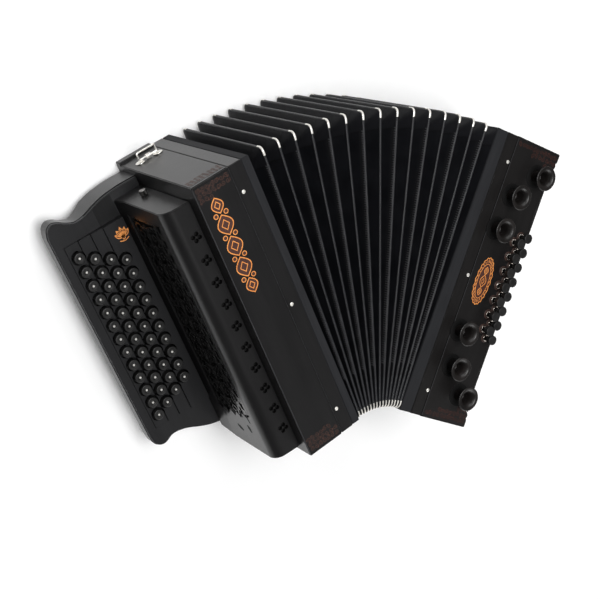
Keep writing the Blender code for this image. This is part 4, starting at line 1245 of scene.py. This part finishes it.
piece("hand_strap_plates", join(*plates), BASS, "nickel", "bass", (), 40)

# --------------------------------------------------------------------------
# Inlays: plain geometric and leaf ornament in place of any lettering
# --------------------------------------------------------------------------
LIFT = 0.13


def inlay(name, parts, at, mat, body):
    return piece(name, join(*parts), at, mat, body, (), 40)


def lozenge(cu, cv, a, b):
    return [(cu, cv - b), (cu + a, cv), (cu, cv + b), (cu - a, cv)]


def leaf_outline(cu, cv, a, b, n=10):
    """Pointed oval, long along v."""
    pts = []
    for i in range(n):
        t = i / n
        pts.append((cu + a * math.sin(math.pi * t), cv - b + 2 * b * t))
    for i in range(n):
        t = 1 - i / n
        pts.append((cu - a * math.sin(math.pi * t), cv - b + 2 * b * t))
    return pts


FRONT = DEPTH
orange, brown = [], []
chain_v = [228.5, 252.0, 278.5, 305.0, 328.5]
chain_b = [9.0, 12.0, 12.0, 12.0, 9.0]
CU = -56.0
for cv, b in zip(chain_v, chain_b):
    a = b * 0.80
    brown.append(prism(leaf_outline(CU, cv, a, b), FRONT - 0.2, FRONT + LIFT * 0.6, "w"))
    orange.append(ribbon(leaf_outline(CU, cv, a, b), 1.15, FRONT - 0.2, FRONT + LIFT, "w", True))
    orange.append(ribbon(lozenge(CU, cv, a * 0.50, b * 0.50), 0.9, FRONT - 0.2, FRONT + LIFT, "w", True))
    brown.append(prism(circle(CU, cv, 1.2, 12), FRONT - 0.2, FRONT + LIFT, "w"))
for a, b in zip(zip(chain_v, chain_b), zip(chain_v[1:], chain_b[1:])):
    cv = ((a[0] + a[1]) + (b[0] - b[1])) / 2
    for s in (1, -1):
        brown.append(prism(circle(CU + s * 6.6, cv, 2.5, 18), FRONT - 0.2, FRONT + LIFT * 0.6, "w"))
        orange.append(ribbon(circle(CU + s * 6.6, cv, 2.5, 22), 0.95, FRONT - 0.2, FRONT + LIFT, "w", True))
inlay("treble_inlay_outline", orange, TREBLE, "orange", "treble")
inlay("treble_inlay_fill", brown, TREBLE, "brown", "treble")

# oval rosette on the bass box
orange, brown = [], []
OU, OV, OA, OB = 57.0, 180.5, 12.0, 29.5


def oval(k, n=48, wobble=0.0, lobes=20):
    return [(OU + (OA * k + wobble * math.cos(lobes * 2 * math.pi * i / n)) * math.cos(2 * math.pi * i / n),
             OV + (OB * k + wobble * math.cos(lobes * 2 * math.pi * i / n)) * math.sin(2 * math.pi * i / n))
            for i in range(n)]


brown.append(prism(oval(0.97, 96), FRONT - 0.2, FRONT + LIFT * 0.5, "w"))
orange.append(ribbon(oval(1.0, 200, 0.55, 20), 0.95, FRONT - 0.2, FRONT + LIFT, "w", True))
orange.append(ribbon(oval(0.74, 60), 0.7, FRONT - 0.2, FRONT + LIFT, "w", True))
for i in range(28):
    a = 2 * math.pi * i / 28
    p0 = (OU + OA * 0.80 * math.cos(a), OV + OB * 0.80 * math.sin(a))
    p1 = (OU + OA * 0.93 * math.cos(a + 0.10), OV + OB * 0.93 * math.sin(a + 0.10))
    orange.append(ribbon([p0, p1], 0.75, FRONT - 0.2, FRONT + LIFT, "w"))
for cv, b in ((OV, 7.6), (OV + 13.2, 4.6), (OV - 13.2, 4.6)):
    orange.append(ribbon(leaf_outline(OU, cv, b * 0.62, b), 0.85, FRONT - 0.2, FRONT + LIFT, "w", True))
    orange.append(ribbon(lozenge(OU, cv, b * 0.26, b * 0.48), 0.6, FRONT - 0.2, FRONT + LIFT, "w", True))
inlay("bass_inlay_outline", orange, BASS, "orange", "bass")
inlay("bass_inlay_fill", brown, BASS, "brown", "bass")

# leaf spray above the innermost strip of buttons
orange = []
SU, SV, SW = -122.9, 300.5, KEY_FRONT + 0.8 + STAIR * 3
for k, tilt in enumerate((-50, -25, 0, 25, 50)):
    t = math.radians(tilt)
    length = 13.2 - abs(tilt) * 0.04
    rot = Matrix.Translation((SU, SV, 0)) @ Matrix.Rotation(-t, 4, "Z")
    orange.append(place(ribbon(leaf_outline(0, length * 0.60, 2.1, length * 0.42, 7), 0.95, SW - 0.15, SW + LIFT, "w", True), rot))
    orange.append(place(ribbon([(0, 1.0), (0, length * 0.95)], 0.8, SW - 0.15, SW + LIFT, "w"), rot))
orange.append(ribbon(circle(SU, SV, 1.5, 16), 0.8, SW - 0.15, SW + LIFT, "w", True))
orange.append(ribbon(wave([(SU - 6.0, SV - 1.4), (SU, SV - 3.4), (SU + 6.0, SV - 1.4)], 5), 1.0, SW - 0.15, SW + LIFT, "w"))
inlay("strip_inlay", orange, TREBLE, "orange", "treble")


def filigree(w0, w1, span_u, span_v, seed, cell=7.2, taper=None):
    """Interlocking scrolls and small leaves filling a rectangle in (a, b)."""
    g = random.Random(seed)
    parts = []
    nu = max(1, int(round((span_u[1] - span_u[0]) / cell)))
    nv = max(1, int(round((span_v[1] - span_v[0]) / cell)))
    du, dv = (span_u[1] - span_u[0]) / nu, (span_v[1] - span_v[0]) / nv
    for i in range(nu):
        for j in range(nv):
            a = span_u[0] + du * (i + 0.5)
            b = span_v[0] + dv * (j + 0.5)
            if taper and not taper(a, b):
                continue
            f = 1 if (i + j) % 2 else -1
            parts.append((spiral(a, b, 0.5, min(du, dv) * 0.46, g.uniform(0, 360), 1.35, 18, f), 0.62))
            ang = g.uniform(0, 2 * math.pi)
            parts.append(([(a + math.cos(ang + q) * min(du, dv) * 0.5, b + math.sin(ang + q) * min(du, dv) * 0.5)
                           for q in (0, 0.35, 0.7, 1.0)], 0.9))
    return parts


def lay(parts, lo, hi, axis, at, name, body):
    piece(name, join(*[ribbon(p, w * 1.05, lo, hi, axis) for p, w in parts]), at,
          "filigree" if body == "treble" else "filigree_b", body, (), 40)


lay(filigree(0, 0, (-73.0, -30.5), (338.0, 356.0), 3, 6.2, lambda a, b: b > 356 - (18 - (a + 73.0) * 0.18)),
    FRONT - 0.2, FRONT + LIFT, "w", TREBLE, "treble_filigree_top", "treble")
lay(filigree(0, 0, (-73.0, -30.5), (4.0, 24.0), 4, 6.2, lambda a, b: b < 25 - (a + 73.0) * 0.12),
    FRONT - 0.2, FRONT + LIFT, "w", TREBLE, "treble_filigree_bottom", "treble")
lay(filigree(0, 0, (38.0, 106.0), (335.0, 356.5), 5, 6.2, lambda a, b: b > 356 - 4 - (a - 38.0) * 0.26),
    FRONT - 0.2, FRONT + LIFT, "w", BASS, "bass_filigree_top", "bass")
lay(filigree(0, 0, (38.0, 106.0), (4.0, 24.0), 6, 6.2, lambda a, b: b < 10 + (a - 38.0) * 0.22),
    FRONT - 0.2, FRONT + LIFT, "w", BASS, "bass_filigree_bottom", "bass")
# the band that folds over onto the top face of the treble box, along its front edge (u, w)
lay([([(q[1], q[0]) for q in p], w) for p, w in
     filigree(0, 0, (169.5, 184.0), (-73.5, -29.5), 7, 5.4)],
    HEIGHT - 0.2, HEIGHT + LIFT, "v", TREBLE, "treble_filigree_lid", "treble")

# --------------------------------------------------------------------------
# Floor, light and camera
# --------------------------------------------------------------------------
bm = bmesh.new()
bmesh.ops.create_grid(bm, x_segments=2, y_segments=2, size=6.0)
me = bpy.data.meshes.new("floor")
bm.to_mesh(me)
bm.free()
floor = bpy.data.objects.new("floor", me)
floor.location = (0, 0, -0.0005)
scene.collection.objects.link(floor)
n = Nodes("floor_white")
fleck = n.noise(n.coords((1, 1, 1)), 6.0, 2.0)
n.p.inputs["Emission Color"].default_value = (1.0, 1.0, 1.0, 1.0)
n.p.inputs["Emission Strength"].default_value = 0.10
me.materials.append(n.done(n.ramp(fleck, (0.3, (0.90, 0.90, 0.90)), (0.7, (0.915, 0.915, 0.915))), 0.9, spec=0.1))


def area(name, loc, target, size, power, color=(1, 1, 1), size_y=None):
    li = bpy.data.lights.new(name, "AREA")
    li.energy = power
    li.color = color
    li.shape = "RECTANGLE"
    li.size = size
    li.size_y = size_y or size
    ob = bpy.data.objects.new(name, li)
    ob.location = loc
    ob.rotation_euler = (Vector(target) - Vector(loc)).to_track_quat("-Z", "Y").to_euler()
    scene.collection.objects.link(ob)
    return ob


area("key_top", (-0.55, 0.5, 2.9), (0, 0, 0), 1.5, 75)
area("key_back", (0.3, 1.9, 1.5), (0, 0.15, 0), 1.8, 20)
area("front_gloss", (1.0, -2.1, 1.15), (0, -0.1, 0.1), 1.6, 25)

world = bpy.data.worlds.new("studio")
scene.world = world
world.use_nodes = True
world.node_tree.nodes["Background"].inputs[0].default_value = (1, 1, 1, 1)
world.node_tree.nodes["Background"].inputs[1].default_value = 0.10
scene.view_settings.view_transform = "Standard"

cam_data = bpy.data.cameras.new("camera")
cam_data.sensor_width = 36.0
cam_data.lens = 1259.14 * 36.0 / 600.0
cam_data.clip_start, cam_data.clip_end = 0.05, 40.0
cam = bpy.data.objects.new("camera", cam_data)
scene.collection.objects.link(cam)
right = Vector((0.77483, -0.34940, 0.52684))
down = Vector((-0.52188, -0.82385, 0.22116))
ahead = Vector((0.35676, -0.44630, -0.82069))
rot = TREBLE.to_3x3()
right, down, ahead = rot @ right, rot @ down, rot @ ahead
place_at = (TREBLE @ Vector((-511.91, 807.14, 1342.75))) * MM
m3 = Matrix((right, -down, -ahead)).transposed()
cam.matrix_world = Matrix.Translation(place_at) @ m3.to_4x4()
scene.camera = cam
